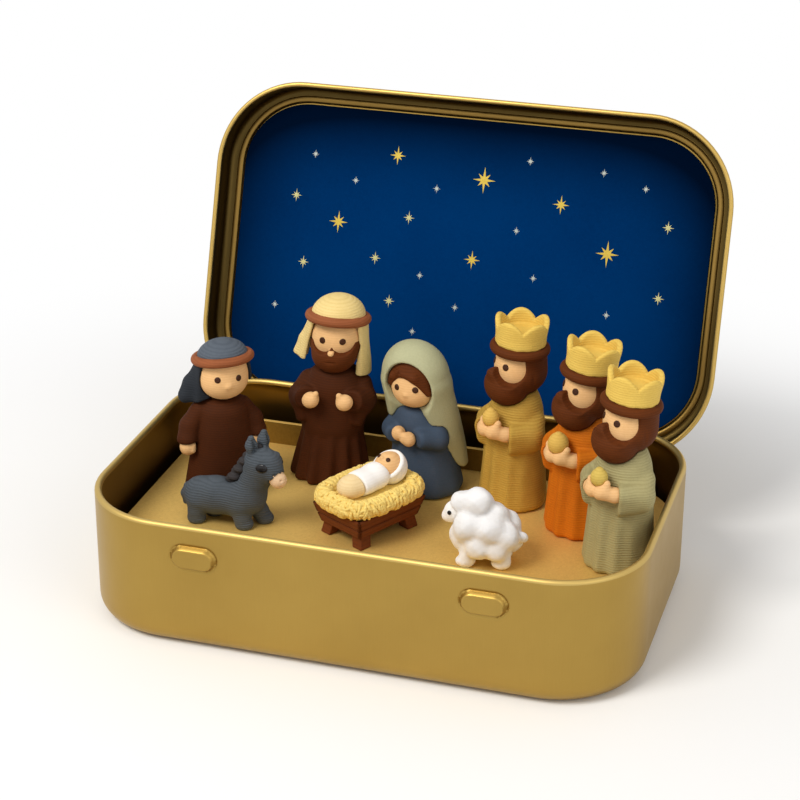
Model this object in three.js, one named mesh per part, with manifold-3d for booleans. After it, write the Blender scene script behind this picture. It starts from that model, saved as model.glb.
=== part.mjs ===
// Pocket nativity tin: a hinged tin opened as a small stage, with nine standing groups of figures.
// Millimetres. Origin at the centre of the tin's underside, +X along its width, -Y to the front, +Z up.
import * as THREE from 'three';
import { mergeVertices } from 'three/addons/utils/BufferGeometryUtils.js';
import Module from 'manifold-3d';

const wasm = await Module();
wasm.setup();

// Sheet, card and the gap kept between pieces that touch
const GAP = 0.3;
const SHEET = 0.3;
const CARD = 0.4;

// Tin base
const BASE_WIDTH = 93.8;
const BASE_DEPTH = 59;
const BASE_HEIGHT = 22.5;
const PLAN_RADIUS = 15;
const BOTTOM_RADIUS = 3.4;
const RIM_ROLL = 0.6;
const CORNER_STEPS = 6;

// Oblong snaps pressed out of the front wall
const SNAP_X = [-24.7, 23.5];
const SNAP_Z = 16.9;
const SNAP_HALF_LENGTH = 3.7;
const SNAP_HALF_HEIGHT = 1.95;
const SNAP_RISE = 0.7;

// Hinge: lid tabs curled round a bar left between two slots in the back wall
const HINGE_X = 21;
const HINGE_Z = 16.85;
const HINGE_Y = BASE_DEPTH / 2 - SHEET / 2;
const BAR_HALF_HEIGHT = 0.3;
const TAB_WIDTH = 9;
const CURL_INNER = 0.5;
const CURL_OUTER = CURL_INNER + SHEET;
const SLOT_REACH = CURL_OUTER + 0.45;
const SLOT_SIDE_PLAY = 0.4;

// Lid, described closed and then opened about the hinge
const LID_OPEN = 108.6;
const LID_CLEARANCE = 0.15;
const LID_BEAD = 0.45;
const LID_FILLET = 1.8;
const LID_BORDER = 2.5;
const LID_STEP = 0.4;
const LID_STEP_RUN = 0.25;
const SKIRT_EDGE_Z = HINGE_Z + 0.6;
const PANEL_Z = BASE_HEIGHT + GAP;

// Cards
const SKY_INSET = LID_BORDER + LID_STEP_RUN + 0.2 - LID_CLEARANCE;
const FLOOR_TOP = 12;
const FLOOR_THICK = 0.8;
const FLOOR_INSET = 1.9;
const FLOOR_BACK = 25;
const UPSTAND_HALF = 36;
const UPSTAND_HEIGHT = 4.3;
const SIDE_FLAP_HALF = 13;
const FRONT_FLAP_HALF = 30;

// The figures are drawn for a tin 93.8 wide and 59 deep; their places and size follow the tin
const FIT_X = BASE_WIDTH / 93.8;
const FIT_Y = BASE_DEPTH / 59;
const FIGURE_SCALE = Math.min(FIT_X, FIT_Y);

// Where each group stands, its turn in degrees from the front, and its sideways sway per millimetre of height
const STAND_Z = FLOOR_TOP + GAP;
const SHEPHERD = { at: [-32.25, 3.2], turn: 34, sway: 0.025 };
const FATHER = { at: [-16.7, 15.9], turn: 6, sway: 0.055 };
const MOTHER = { at: [1.1, 15.9], turn: -13, sway: -0.085 };
const MANGER = { at: [-3.6, -2.3], turn: 61 };
const DONKEY = { at: [-26.3, -6.8], turn: 0 };
const SHEEP = { at: [18, -7.6], turn: 9 };
const KINGS = [
  { name: 'king_one', at: [17, 15.7], turn: -28, robe: 0xb9964b, gift: 1.45, lean: [-2.4, 2.4] },
  { name: 'king_two', at: [30.2, 9.3], turn: -28, robe: 0xcd731a, gift: 1.75, lean: [-4.5, 4.5] },
  { name: 'king_three', at: [39.1, -0.8], turn: -26, robe: 0x96967a, gift: 1.55, lean: [-4.5, 4.5] },
];

// Manger: seam between the infant's swaddle and foot wrap, and the crate's rim
const WRAP_SEAM = -3.2;
const CRATE_RIM_Z = 5.5;

// Facet counts of the figures
const ROBE_STEPS = 14;
const LIMB_STEPS = 7;
const HEAD_STEPS = 10;
const CAP_STEPS = 14;

// Colours
const paint = (color, roughness = 0.8, metalness = 0) =>
  new THREE.MeshStandardMaterial({ color, roughness, metalness });
const GOLD_TIN = paint(0xb38f4a, 0.35, 0.9);
const NAVY_CARD = paint(0x0a2450, 0.7);
const GOLD_CARD = paint(0xb9944d, 0.6, 0.3);
const SKIN = paint(0xebc391);
const BROWN_CLOTH = paint(0x41200f);
const SLATE = paint(0x555f73);
const ROPE = paint(0x965032);
const CREAM = paint(0xebd282);
const HAIR = paint(0x552a19);
const SAGE = paint(0x969b78);
const BLUE_GOWN = paint(0x3c4b5f);
const WOOD = paint(0x5f2d0f);
const STRAW = paint(0xe1b95f);
const WHITE = paint(0xf4f2ee);
const DONKEY_GREY = paint(0x464855);
const DARK_GREY = paint(0x2c2e38);
const MUZZLE = paint(0xd7b9a5);
const CROWN_GOLD = paint(0xe1be5f);
const GIFT_GOLD = paint(0xcfae5a);

const rad = THREE.MathUtils.degToRad;

// Geometry helpers

// A closed solid from a geometry whose shared vertices are merged
function solid(geometry) {
  geometry.deleteAttribute('normal');
  geometry.deleteAttribute('uv');
  const merged = mergeVertices(geometry, 1e-4);
  const vertProperties = new Float32Array(merged.attributes.position.array);
  const triVerts = new Uint32Array(merged.index.array);
  return new wasm.Manifold(new wasm.Mesh({ numProp: 3, vertProperties, triVerts }));
}

// A named mesh from a solid
function mesh(name, body, material) {
  const { vertProperties, triVerts } = body.getMesh();
  const geometry = new THREE.BufferGeometry();
  geometry.setAttribute('position', new THREE.BufferAttribute(new Float32Array(vertProperties), 3));
  geometry.setIndex(new THREE.BufferAttribute(new Uint32Array(triVerts), 1));
  geometry.computeVertexNormals();
  const result = new THREE.Mesh(geometry, material);
  result.name = name;
  return result;
}

const join = (...bodies) => bodies.reduce((all, body) => all.add(body));
const cut = (body, ...tools) => tools.reduce((left, tool) => left.subtract(tool), body);

// A closed skin through rings of equal length, fanned shut at both ends
function loft(rings) {
  const count = rings[0].length;
  const position = rings.flat(2);
  const index = [];
  const centre = (ring) => {
    const sum = ring.reduce((s, p) => [s[0] + p[0], s[1] + p[1], s[2] + p[2]], [0, 0, 0]);
    position.push(sum[0] / count, sum[1] / count, sum[2] / count);
    return position.length / 3 - 1;
  };
  const first = centre(rings[0]);
  const last = centre(rings[rings.length - 1]);
  for (let j = 0; j < count; j++) {
    const k = (j + 1) % count;
    index.push(first, k, j);
    for (let i = 0; i < rings.length - 1; i++) {
      const a = i * count;
      const b = a + count;
      index.push(a + j, a + k, b + k, a + j, b + k, b + j);
    }
    const top = (rings.length - 1) * count;
    index.push(top + j, top + k, last);
  }
  const geometry = new THREE.BufferGeometry();
  geometry.setAttribute('position', new THREE.Float32BufferAttribute(position, 3));
  geometry.setIndex(index);
  return geometry;
}

// The tin's rounded plan outline, moved out by an offset, at one height
function outline(offset, z) {
  const points = [];
  const cx = BASE_WIDTH / 2 - PLAN_RADIUS;
  const cy = BASE_DEPTH / 2 - PLAN_RADIUS;
  for (let corner = 0; corner < 4; corner++) {
    const sx = corner === 0 || corner === 3 ? cx : -cx;
    const sy = corner < 2 ? cy : -cy;
    for (let i = 0; i <= CORNER_STEPS; i++) {
      const angle = ((corner + i / CORNER_STEPS) * Math.PI) / 2;
      const radius = PLAN_RADIUS + offset;
      points.push([sx + radius * Math.cos(angle), sy + radius * Math.sin(angle), z]);
    }
  }
  return points;
}

// Offset and height pairs along an arc
function arc(offset, z, radius, from, to, steps) {
  const pairs = [];
  for (let i = 0; i <= steps; i++) {
    const angle = rad(from + ((to - from) * i) / steps);
    pairs.push([offset + radius * Math.cos(angle), z + radius * Math.sin(angle)]);
  }
  return pairs;
}

// A sheet pan whose section is a list of offset and height pairs
const pan = (section) => solid(loft(section.map(([offset, z]) => outline(offset, z))));

function box(x0, x1, y0, y1, z0, z1) {
  const geometry = new THREE.BoxGeometry(x1 - x0, y1 - y0, z1 - z0);
  geometry.translate((x0 + x1) / 2, (y0 + y1) / 2, (z0 + z1) / 2);
  return solid(geometry);
}

// An ellipsoid with its poles up and down
function blob([x, y, z], [rx, ry, rz], grow = 0, steps = HEAD_STEPS, turn = null) {
  const geometry = new THREE.SphereGeometry(1, steps, Math.round(steps * 0.65));
  geometry.rotateX(Math.PI / 2);
  geometry.scale(rx + grow, ry + grow, rz + grow);
  geometry.translate(x, y, z);
  if (turn) geometry.applyMatrix4(turn);
  return solid(geometry);
}

// A round limb through points, each with its own radius; the ends are rounded where asked
function limb(points, radii, grow = 0, roundStart = true, roundEnd = true, steps = LIMB_STEPS) {
  const path = points.map((p) => new THREE.Vector3(...p));
  const spots = [];
  const along = (i) => {
    const before = path[Math.max(i - 1, 0)];
    const after = path[Math.min(i + 1, path.length - 1)];
    return after.clone().sub(before).normalize();
  };
  const dome = (i, sign) => {
    const radius = radii[i] + grow;
    const centre = path[i].clone().addScaledVector(along(i), sign * radius * Math.sin(rad(52)));
    spots.push([centre, along(i), radius * Math.cos(rad(52))]);
  };
  if (roundStart) dome(0, -1);
  path.forEach((p, i) => spots.push([p, along(i), radii[i] + grow]));
  if (roundEnd) dome(path.length - 1, 1);
  let side = new THREE.Vector3(0, 1, 0);
  if (Math.abs(spots[0][1].y) > 0.8) side.set(1, 0, 0);
  const rings = spots.map(([centre, forward, radius]) => {
    side = side.clone().addScaledVector(forward, -side.dot(forward)).normalize();
    const up = forward.clone().cross(side);
    return Array.from({ length: steps }, (_, j) => {
      const angle = (j / steps) * Math.PI * 2;
      const p = centre.clone().addScaledVector(side, radius * Math.cos(angle));
      p.addScaledVector(up, radius * Math.sin(angle));
      return p.toArray();
    });
  });
  return solid(loft(rings));
}

// A robe from rows of height, half width, half depth and forward shift, with pleats below a height
function robe(rows, grow = 0, pleats = 0, pleatDepth = 0, pleatTop = 0) {
  const last = rows.length - 1;
  const steps = Math.max(ROBE_STEPS, pleats * 2);
  return solid(loft(rows.map(([z, rx, ry, shift], i) => {
    const depth = pleats && z < pleatTop ? pleatDepth * (1 - z / pleatTop) : 0;
    const lift = i === last ? grow : 0;
    return Array.from({ length: steps }, (_, j) => {
      const angle = (j / steps) * Math.PI * 2;
      const wave = 1 + depth * Math.cos(pleats * angle);
      const x = (rx + grow) * wave * Math.cos(angle);
      return [x, shift + (ry + grow) * wave * Math.sin(angle), z + lift];
    });
  })));
}

// A rope ring worn round a head
function ring(radius, tube, z, grow = 0, turn = null) {
  const geometry = new THREE.TorusGeometry(radius, tube + grow, 6, 14);
  geometry.translate(0, 0, z);
  if (turn) geometry.applyMatrix4(turn);
  return solid(geometry);
}

// A round cap: a dome above a flat edge, hollowed to clear the head below it
function cap(edgeZ, edgeRadius, topZ, hollowRadius, hollowZ, turn = null) {
  const rise = topZ - edgeZ;
  const rows = [
    [hollowRadius * 0.5, hollowZ], [hollowRadius, edgeZ], [edgeRadius, edgeZ],
    [edgeRadius * 0.93, edgeZ + rise * 0.42], [edgeRadius * 0.7, edgeZ + rise * 0.76],
    [edgeRadius * 0.36, edgeZ + rise * 0.95], [edgeRadius * 0.1, topZ],
  ];
  const geometry = loft(rows.map(([radius, z]) => Array.from({ length: CAP_STEPS }, (_, j) => {
    const angle = (j / CAP_STEPS) * Math.PI * 2;
    return [radius * Math.cos(angle), radius * Math.sin(angle), z];
  })));
  if (turn) geometry.applyMatrix4(turn);
  return solid(geometry);
}

const mirrored = (points, side) => points.map(([x, y, z]) => [x * side, y, z]);

// A tilt of a head about a point on the figure's axis, in degrees about X and Y
function tilt(aboutX, aboutY, z) {
  const turn = new THREE.Matrix4().makeRotationFromEuler(new THREE.Euler(rad(aboutX), rad(aboutY), 0));
  const up = new THREE.Matrix4().makeTranslation(0, 0, z);
  const down = new THREE.Matrix4().makeTranslation(0, 0, -z);
  return up.multiply(turn).multiply(down);
}

// A group standing on the floor card
function standing({ at, turn, sway = 0 }, parts) {
  const group = new THREE.Group();
  const lean = new THREE.Matrix4().makeShear(0, 0, 0, 0, sway, 0);
  group.position.set(at[0] * FIT_X, at[1] * FIT_Y, STAND_Z);
  group.rotation.z = rad(turn);
  group.scale.setScalar(FIGURE_SCALE);
  for (const [name, body, material] of parts) {
    const part = mesh(name, body, material);
    part.geometry.applyMatrix4(lean);
    group.add(part);
  }
  return group;
}

// Tin base

function snapPad(x, side) {
  const inset = side > 0 ? 0 : SHEET;
  const steps = side > 0 ? [[-0.15, 0], [0.3, 0], [0.55, 0.15], [0.7, 0.6]] : [[-0.6, 0], [0, 0], [0.4, 0.5]];
  const rings = steps.map(([rise, shrink]) => {
    const high = SNAP_HALF_HEIGHT - inset - shrink;
    const straight = SNAP_HALF_LENGTH - SNAP_HALF_HEIGHT;
    return Array.from({ length: 12 }, (_, j) => {
      const angle = ((j + 0.5) / 12) * Math.PI * 2;
      const shift = Math.cos(angle) > 0 ? straight : -straight;
      const y = -BASE_DEPTH / 2 - rise * (SNAP_RISE / 0.7);
      return [x + shift + high * Math.cos(angle), y, SNAP_Z + high * Math.sin(angle)];
    });
  });
  return solid(loft(rings));
}

function tinBase() {
  const h = BASE_HEIGHT;
  let body = pan([
    ...arc(-BOTTOM_RADIUS, BOTTOM_RADIUS, BOTTOM_RADIUS, -90, 0, 3),
    ...arc(-RIM_ROLL, h - RIM_ROLL, RIM_ROLL, 0, 270, 6),
    [-SHEET, h - 2 * RIM_ROLL - 0.2],
    ...arc(-BOTTOM_RADIUS, BOTTOM_RADIUS, BOTTOM_RADIUS - SHEET, 0, -90, 3),
  ]);
  for (const x of SNAP_X) {
    body = join(body, snapPad(x, 1));
    body = cut(body, snapPad(x, -1));
  }
  for (const side of [-1, 1]) {
    const x0 = side * HINGE_X - TAB_WIDTH / 2 - SLOT_SIDE_PLAY;
    const x1 = side * HINGE_X + TAB_WIDTH / 2 + SLOT_SIDE_PLAY;
    for (const up of [-1, 1]) {
      const near = HINGE_Z + up * BAR_HALF_HEIGHT;
      const far = HINGE_Z + up * SLOT_REACH;
      body = cut(body, box(x0, x1, HINGE_Y - 1, HINGE_Y + 1, Math.min(near, far), Math.max(near, far)));
    }
  }
  return body;
}

// Tin lid, about the hinge axis

function hingeTab(x) {
  const shape = new THREE.Shape();
  shape.moveTo(CURL_INNER, SKIRT_EDGE_Z - HINGE_Z + 0.3);
  shape.lineTo(CURL_INNER, 0);
  for (let a = 23; a <= 230; a += 23) {
    shape.lineTo(CURL_INNER * Math.cos(rad(-a)), CURL_INNER * Math.sin(rad(-a)));
  }
  for (let a = 230; a >= 0; a -= 23) {
    shape.lineTo(CURL_OUTER * Math.cos(rad(-a)), CURL_OUTER * Math.sin(rad(-a)));
  }
  shape.lineTo(CURL_OUTER, SKIRT_EDGE_Z - HINGE_Z + 0.3);
  const geometry = new THREE.ExtrudeGeometry(shape, { depth: TAB_WIDTH, bevelEnabled: false });
  geometry.applyMatrix4(new THREE.Matrix4().makeBasis(
    new THREE.Vector3(0, 1, 0),
    new THREE.Vector3(0, 0, 1),
    new THREE.Vector3(1, 0, 0),
  ));
  geometry.translate(x - TAB_WIDTH / 2, 0, 0);
  return solid(geometry);
}

function tinLid() {
  const a = LID_CLEARANCE;
  const inner = PANEL_Z - LID_FILLET;
  const section = [
    [a - LID_BORDER - LID_STEP_RUN, PANEL_Z + LID_STEP],
    [a - LID_BORDER, PANEL_Z],
    ...arc(a - LID_FILLET, inner, LID_FILLET, 90, 0, 3),
    ...arc(a + LID_BEAD, SKIRT_EDGE_Z + LID_BEAD, LID_BEAD, 180, 470, 6),
    ...arc(a - LID_FILLET, inner, LID_FILLET + SHEET, 0, 90, 3),
    [a - LID_BORDER, PANEL_Z + SHEET],
    [a - LID_BORDER - LID_STEP_RUN, PANEL_Z + LID_STEP + SHEET],
  ];
  const geometry = loft(section.map(([offset, z]) => outline(offset, z)));
  geometry.translate(0, -HINGE_Y, -HINGE_Z);
  return join(solid(geometry), hingeTab(-HINGE_X), hingeTab(HINGE_X));
}

function skyCard() {
  const front = PANEL_Z + LID_STEP - GAP - CARD;
  const geometry = loft([outline(-SKY_INSET, front), outline(-SKY_INSET, front + CARD)]);
  geometry.translate(0, -HINGE_Y, -HINGE_Z);
  return solid(geometry);
}

// Floor card: a folded stage with flaps down at the front and sides and an upstand at the back

function floorCard() {
  const cx = BASE_WIDTH / 2 - PLAN_RADIUS;
  const cy = BASE_DEPTH / 2 - PLAN_RADIUS;
  const radius = PLAN_RADIUS - FLOOR_INSET;
  const last = Math.asin((FLOOR_BACK - cy) / radius);
  const shape = new THREE.Shape();
  shape.absarc(cx, -cy, radius, -Math.PI / 2, 0);
  shape.absarc(cx, cy, radius, 0, last);
  shape.absarc(-cx, cy, radius, Math.PI - last, Math.PI);
  shape.absarc(-cx, -cy, radius, Math.PI, Math.PI * 1.5);
  const top = new THREE.ExtrudeGeometry(shape, { depth: FLOOR_THICK, bevelEnabled: false, curveSegments: 7 });
  top.translate(0, 0, FLOOR_TOP - FLOOR_THICK);
  const side = cx + radius;
  const front = cy + radius;
  const bend = Math.sqrt((BOTTOM_RADIUS - SHEET) ** 2 - (BOTTOM_RADIUS - FLOOR_INSET) ** 2);
  const low = BOTTOM_RADIUS - bend + GAP;
  const high = FLOOR_TOP - FLOOR_THICK / 2;
  const t = FLOOR_THICK;
  return join(
    solid(top),
    box(-UPSTAND_HALF, UPSTAND_HALF, FLOOR_BACK - t, FLOOR_BACK, high, FLOOR_TOP + UPSTAND_HEIGHT),
    box(-side, -side + t, -SIDE_FLAP_HALF, SIDE_FLAP_HALF, low, high),
    box(side - t, side, -SIDE_FLAP_HALF, SIDE_FLAP_HALF, low, high),
    box(-FRONT_FLAP_HALF, FRONT_FLAP_HALF, -front, -front + t, low, high),
  );
}

// Shepherd

function shepherd() {
  const hat = tilt(-3, -6, 24.6);
  const head = (g) => blob([0, -0.2, 22.9], [4.1, 4, 4.4], g);
  const band = (g) => ring(4.6, 0.8, 25.4, g, hat);
  const hand = (side, g) => blob([side * 6.4, -1.2, 9.9], [1.45, 1.5, 1.6], g, 8);
  const arm = [[4.3, 0, 16], [6.1, -0.3, 13.6], [6.3, -0.9, 11.9]];
  const rows = [
    [0, 6.8, 5.7, 0], [2, 6.6, 5.5, 0], [8, 5.6, 4.8, 0], [13, 5, 4.3, 0],
    [16.6, 4.3, 3.7, 0], [18.05, 2.4, 2.2, 0],
  ];
  const body = (g) => join(
    robe(rows, g),
    limb(mirrored(arm, -1), [1.7, 1.75, 1.9], g, true, false),
    limb(arm, [1.7, 1.75, 1.9], g, true, false),
  );
  const flare = [[-3.4, 1.2, 23.2], [-5.2, 1.5, 20], [-6.4, 1.3, 17.6]];
  const drape = cut(
    join(
      robe([[15.6, 5.6, 4.6, 1.3], [18.5, 5.5, 4.7, 1.1], [22, 5, 4.8, 0.6], [24.6, 4.5, 4.6, 0.2]]),
      limb(flare, [1.2, 1.6, 1.7]),
    ),
    box(-9, 9, -9, -0.4, 10, 30),
    box(-9, 9, -9, 9, 24, 30),
  );
  return standing(SHEPHERD, [
    ['shepherd_robe', cut(body(0), hand(-1, GAP), hand(1, GAP)), BROWN_CLOTH],
    ['shepherd_head', join(head(0), blob([0, -4.2, 21.8], [0.6, 0.7, 0.55], 0, 6)), SKIN],
    ['shepherd_cap', cap(26.5, 4.35, 28.6, 2.9, 27.8, hat), SLATE],
    ['shepherd_scarf', cut(drape, head(GAP), band(GAP), body(GAP)), SLATE],
    ['shepherd_band', band(0), ROPE],
    ['shepherd_hand_left', hand(-1, 0), SKIN],
    ['shepherd_hand_right', hand(1, 0), SKIN],
  ]);
}

// Father

function father() {
  const head = (g) => join(
    blob([0, -0.2, 26.6], [4.4, 4.2, 4.5], g),
    blob([0, -4.7, 25], [0.65, 1.1, 0.6], g, 6),
  );
  const band = (g) => ring(4.9, 0.9, 30, g);
  const hand = (side) => join(
    blob([side * 2.95, -5.9, 16.5], [1.5, 1.5, 1.4], 0, 8),
    blob([side * 2.2, -6.2, 17.6], [0.6, 0.6, 0.7], 0, 6),
  );
  const arm = [[4.5, 0.2, 17.3], [5.6, -1.4, 15.3], [4.1, -4.3, 16.3]];
  const rows = [
    [0, 6.8, 6, 0], [1.5, 6.6, 5.8, 0], [9.5, 5.5, 4.9, 0], [13, 5.7, 4.9, 0],
    [17.4, 5.3, 4.4, 0], [19.4, 4, 3.4, 0], [19.85, 3, 2.5, 0],
  ];
  const body = (g) => join(
    robe(rows, g, 14, 0.05, 13),
    limb(mirrored(arm, -1), [1.8, 2.1, 2.1], g, true, false),
    limb(arm, [1.8, 2.1, 2.1], g, true, false),
  );
  const face = join(
    box(-3.6, 3.6, -9, -1, 25.6, 32),
    blob([-2, -5, 25.7], [1.9, 4, 1.6], 0, 8),
    blob([2, -5, 25.7], [1.9, 4, 1.6], 0, 8),
  );
  const beard = (g) => join(
    blob([0, -1.6, 23.9], [4.1, 3.8, 3.7], g),
    blob([0, -0.9, 25.6], [4.7, 3.6, 2.5], g),
  );
  const drape = cut(
    robe([[18.8, 7.2, 4.6, 1.2], [21.5, 6.7, 4.8, 1], [25.5, 5.8, 5, 0.6], [29.2, 5, 4.8, 0.3]]),
    box(-9, 9, -9, -1, 10, 32),
    box(-9, 0, -9, 0.8, 10, 20.8),
  );
  return standing(FATHER, [
    ['father_robe', body(0), BROWN_CLOTH],
    ['father_head', head(0), SKIN],
    ['father_beard', cut(beard(0), head(GAP), face, box(-8, 8, -8, 8, 26.6, 34)), HAIR],
    ['father_cap', cap(31.2, 4.75, 34.1, 1.9, 31.5), CREAM],
    ['father_scarf', cut(drape, head(GAP), beard(GAP), band(GAP), body(GAP)), CREAM],
    ['father_band', band(0), ROPE],
    ['father_hand_left', hand(-1), SKIN],
    ['father_hand_right', hand(1), SKIN],
  ]);
}

// Mother

function mother() {
  const head = (g) => join(
    blob([0, -2, 20.4], [3.9, 3.8, 4.1], g),
    blob([0, -5.7, 19.6], [0.5, 0.6, 0.45], g, 6),
  );
  const hair = (g) => blob([0, -1.5, 21.1], [4.6, 4.1, 4.6], g);
  const hands = (g) => join(
    blob([-0.8, -6.2, 12], [1.25, 1.35, 1.4], g, 8),
    blob([0.8, -6.4, 11.4], [1.25, 1.35, 1.25], g, 8),
  );
  const arm = [[3.6, -0.8, 13.2], [4.8, -2.4, 10.6], [2.7, -5, 11.3]];
  const rows = [
    [0, 6.3, 6.1, 0.2], [1.4, 6.4, 6.1, 0.2], [5, 5.9, 5.6, 0.1], [10, 5, 4.7, -0.3],
    [13.5, 4.3, 4.1, -0.9], [15.2, 3.3, 3.1, -1.3], [15.95, 2.3, 2.1, -1.5],
  ];
  const body = (g) => join(
    robe(rows, g),
    limb(mirrored(arm, -1), [1.8, 2, 1.8], g, true, false),
    limb(arm, [1.8, 2, 1.8], g, true, false),
  );
  const parting = join(
    blob([-1.7, -6.2, 19.5], [2.6, 4.4, 3.4], 0, 8),
    blob([1.7, -6.2, 19.5], [2.6, 4.4, 3.4], 0, 8),
    box(-5, 5, -9, 4, 12, 17.6),
  );
  const hood = join(
    blob([0, -0.8, 21.1], [5.9, 5.5, 6.1], 0, 14),
    robe([
      [4, 6.7, 4.2, 2.9], [8, 6.7, 4.8, 2.1], [13, 6.5, 5.3, 0.9], [17, 6.2, 5.4, 0], [20.5, 5.8, 5.3, -0.6],
    ]),
  );
  const opening = join(
    blob([0, -6.4, 19.9], [4.7, 4.9, 5.3], 0, 12),
    limb([[0, -9, 16], [0, -7.4, 8], [0, -5, 2]], [5.6, 7.4, 7.6], 0, false, false, 10),
  );
  const clothes = cut(body(0), hands(GAP));
  return standing(MOTHER, [
    ['mother_gown', clothes, BLUE_GOWN],
    ['mother_head', head(0), SKIN],
    ['mother_hair', cut(hair(0), head(GAP), parting), HAIR],
    ['mother_veil', cut(hood, opening, hair(GAP), head(GAP), body(GAP)), SAGE],
    ['mother_hands', hands(0), SKIN],
  ]);
}

// Kings, alike but for colour, gift and the tilt of the head

function king({ name, at, turn, robe: robeColour, gift: giftRadius, lean }) {
  const pose = tilt(lean[0], lean[1], 21);
  const head = (g) => blob([0, -0.2, 25.2], [3.9, 3.9, 4.4], g, HEAD_STEPS, pose);
  const band = (g) => ring(4.25, 0.85, 28.6, g, pose);
  const beard = (g) => join(
    blob([0, 0.6, 22.9], [4.6, 4.1, 4.7], g, HEAD_STEPS, pose),
    blob([0, -2, 22.1], [4, 3.75, 3.6], g, HEAD_STEPS, pose),
  );
  const face = join(
    blob([-2, -5, 25.4], [2, 4.4, 2.3], 0, 8, pose),
    blob([2, -5, 25.4], [2, 4.4, 2.3], 0, 8, pose),
  );
  const crownRows = [
    [2.9, 29.9, 0], [4.15, 29.75, 0], [4.2, 31, 0], [4.6, 33.2, 1], [4.2, 33.6, 1], [3.7, 33.2, 1],
    [3.4, 30.8, 0],
  ];
  const crown = loft(crownRows.map(([radius, z, wave]) => Array.from({ length: 20 }, (_, j) => {
    const angle = (j / 20) * Math.PI * 2;
    return [radius * Math.cos(angle), radius * Math.sin(angle), z + wave * 0.9 * Math.cos(5 * angle)];
  })));
  crown.applyMatrix4(pose);
  const gift = (g) => blob([0, -6.3, 17.5], [giftRadius, giftRadius, giftRadius * 1.1], g, 8);
  const reach = [[4.4, -3, 14.4], [2.5, -5.2, 14.6], [0.5, -6.9, 15.2]];
  const hands = (g) => join(
    limb(mirrored(reach, -1), [0.95, 1, 1.1], g),
    limb(reach, [0.95, 1, 1.1], g),
  );
  const arm = [[4.1, 0.3, 16.4], [5, -1.4, 14], [2.4, -5, 14.6]];
  const fall = [[5, -1.2, 12.3], [2.7, -4.7, 11.8]];
  const rows = [
    [0, 6, 5.8, 0], [1.5, 5.9, 5.6, 0], [8, 5.5, 5, 0], [14, 5.4, 4.7, 0],
    [16.4, 4.8, 4.2, 0], [17.3, 3.4, 2.9, 0],
  ];
  const body = join(
    robe(rows, 0, 5, 0.03, 16),
    ...[-1, 1].flatMap((side) => [
      limb(mirrored(arm, side), [1.8, 2.1, 1.9], 0, true, false),
      limb(mirrored(fall, side), [1.6, 1.5], 0, true, false),
    ]),
  );
  return standing({ at, turn }, [
    [`${name}_robe`, cut(body, beard(GAP), hands(GAP)), paint(robeColour)],
    [`${name}_head`, head(0), SKIN],
    [`${name}_beard`, cut(beard(0), head(GAP), band(GAP), face), HAIR],
    [`${name}_band`, band(0), HAIR],
    [`${name}_crown`, solid(crown), CROWN_GOLD],
    [`${name}_gift`, gift(0), GIFT_GOLD],
    [`${name}_hands`, cut(hands(0), gift(GAP)), SKIN],
  ]);
}

// Manger with the infant, long side along the group's X axis

function rectangle(halfX, halfY, z) {
  return [[halfX, -halfY, z], [halfX, halfY, z], [-halfX, halfY, z], [-halfX, -halfY, z]];
}

function mat(halfX, halfY, z, ragged) {
  const steps = 24;
  return Array.from({ length: steps }, (_, j) => {
    const angle = (j / steps) * Math.PI * 2;
    const c = Math.cos(angle);
    const s = Math.sin(angle);
    const square = 1 / Math.pow(Math.pow(Math.abs(c), 4) + Math.pow(Math.abs(s), 4), 0.25);
    const edge = 1 + ragged * (j % 2 ? 1 : -1);
    return [halfX * c * square * edge, halfY * s * square * edge, z];
  });
}

function manger() {
  const legs = [-1, 1].flatMap((sx) => [-1, 1].map((sy) => solid(loft([
    rectangle(1.2, 1.1, 0).map(([x, y, z]) => [x + sx * 5.5, y + sy * 3.9, z]),
    rectangle(1.2, 1.1, 2.6).map(([x, y, z]) => [x + sx * 5, y + sy * 3.3, z]),
  ]))));
  const shell = solid(loft([
    rectangle(6.7, 4.8, 1.8), rectangle(7.8, 5.8, CRATE_RIM_Z), rectangle(7.1, 5.1, CRATE_RIM_Z),
    rectangle(6.2, 4.3, 2.6),
  ]));
  const straw = solid(loft([
    mat(5, 3.2, 3.2, 0), mat(6, 4.1, CRATE_RIM_Z + GAP, 0), mat(8.5, 6.4, CRATE_RIM_Z + GAP, 0.04),
    mat(9, 6.8, 6.4, 0.02), mat(8.6, 6.4, 7.3, 0.02), mat(7.3, 5.2, 7.9, 0), mat(5.6, 3.7, 7.5, 0),
  ]));
  const child = (g) => blob([-1.6, 0, 9.1], [4.9, 2.7, 2], g);
  const head = (g) => join(
    blob([4.5, 0, 9.9], [2.6, 2.5, 2.6], g),
    blob([2.9, 0, 12], [0.35, 0.35, 0.35], g, 6),
  );
  const bonnet = (g) => blob([4.8, 0, 9.9], [3.05, 3, 3.05], g);
  const brow = new THREE.BoxGeometry(12, 12, 8).translate(0, 0, 4.6).rotateY(rad(-37)).translate(4.5, 0, 9.9);
  const lower = new THREE.BoxGeometry(8, 10, 10).translate(WRAP_SEAM - GAP / 2 - 4, 0, 9);
  const upper = new THREE.BoxGeometry(12, 12, 10).translate(WRAP_SEAM + GAP / 2 + 6, 0, 9);
  const bed = cut(straw, child(GAP), head(GAP), bonnet(GAP));
  return standing(MANGER, [
    ['manger_crate', join(shell, ...legs), WOOD],
    ['manger_straw', bed, STRAW],
    ['infant_swaddle', cut(child(0).intersect(solid(upper)), head(GAP), bonnet(GAP)), WHITE],
    ['infant_foot_wrap', child(0).intersect(solid(lower)), CREAM],
    ['infant_head', head(0), SKIN],
    ['infant_bonnet', cut(bonnet(0), solid(brow), head(GAP)), WHITE],
  ]);
}

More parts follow.
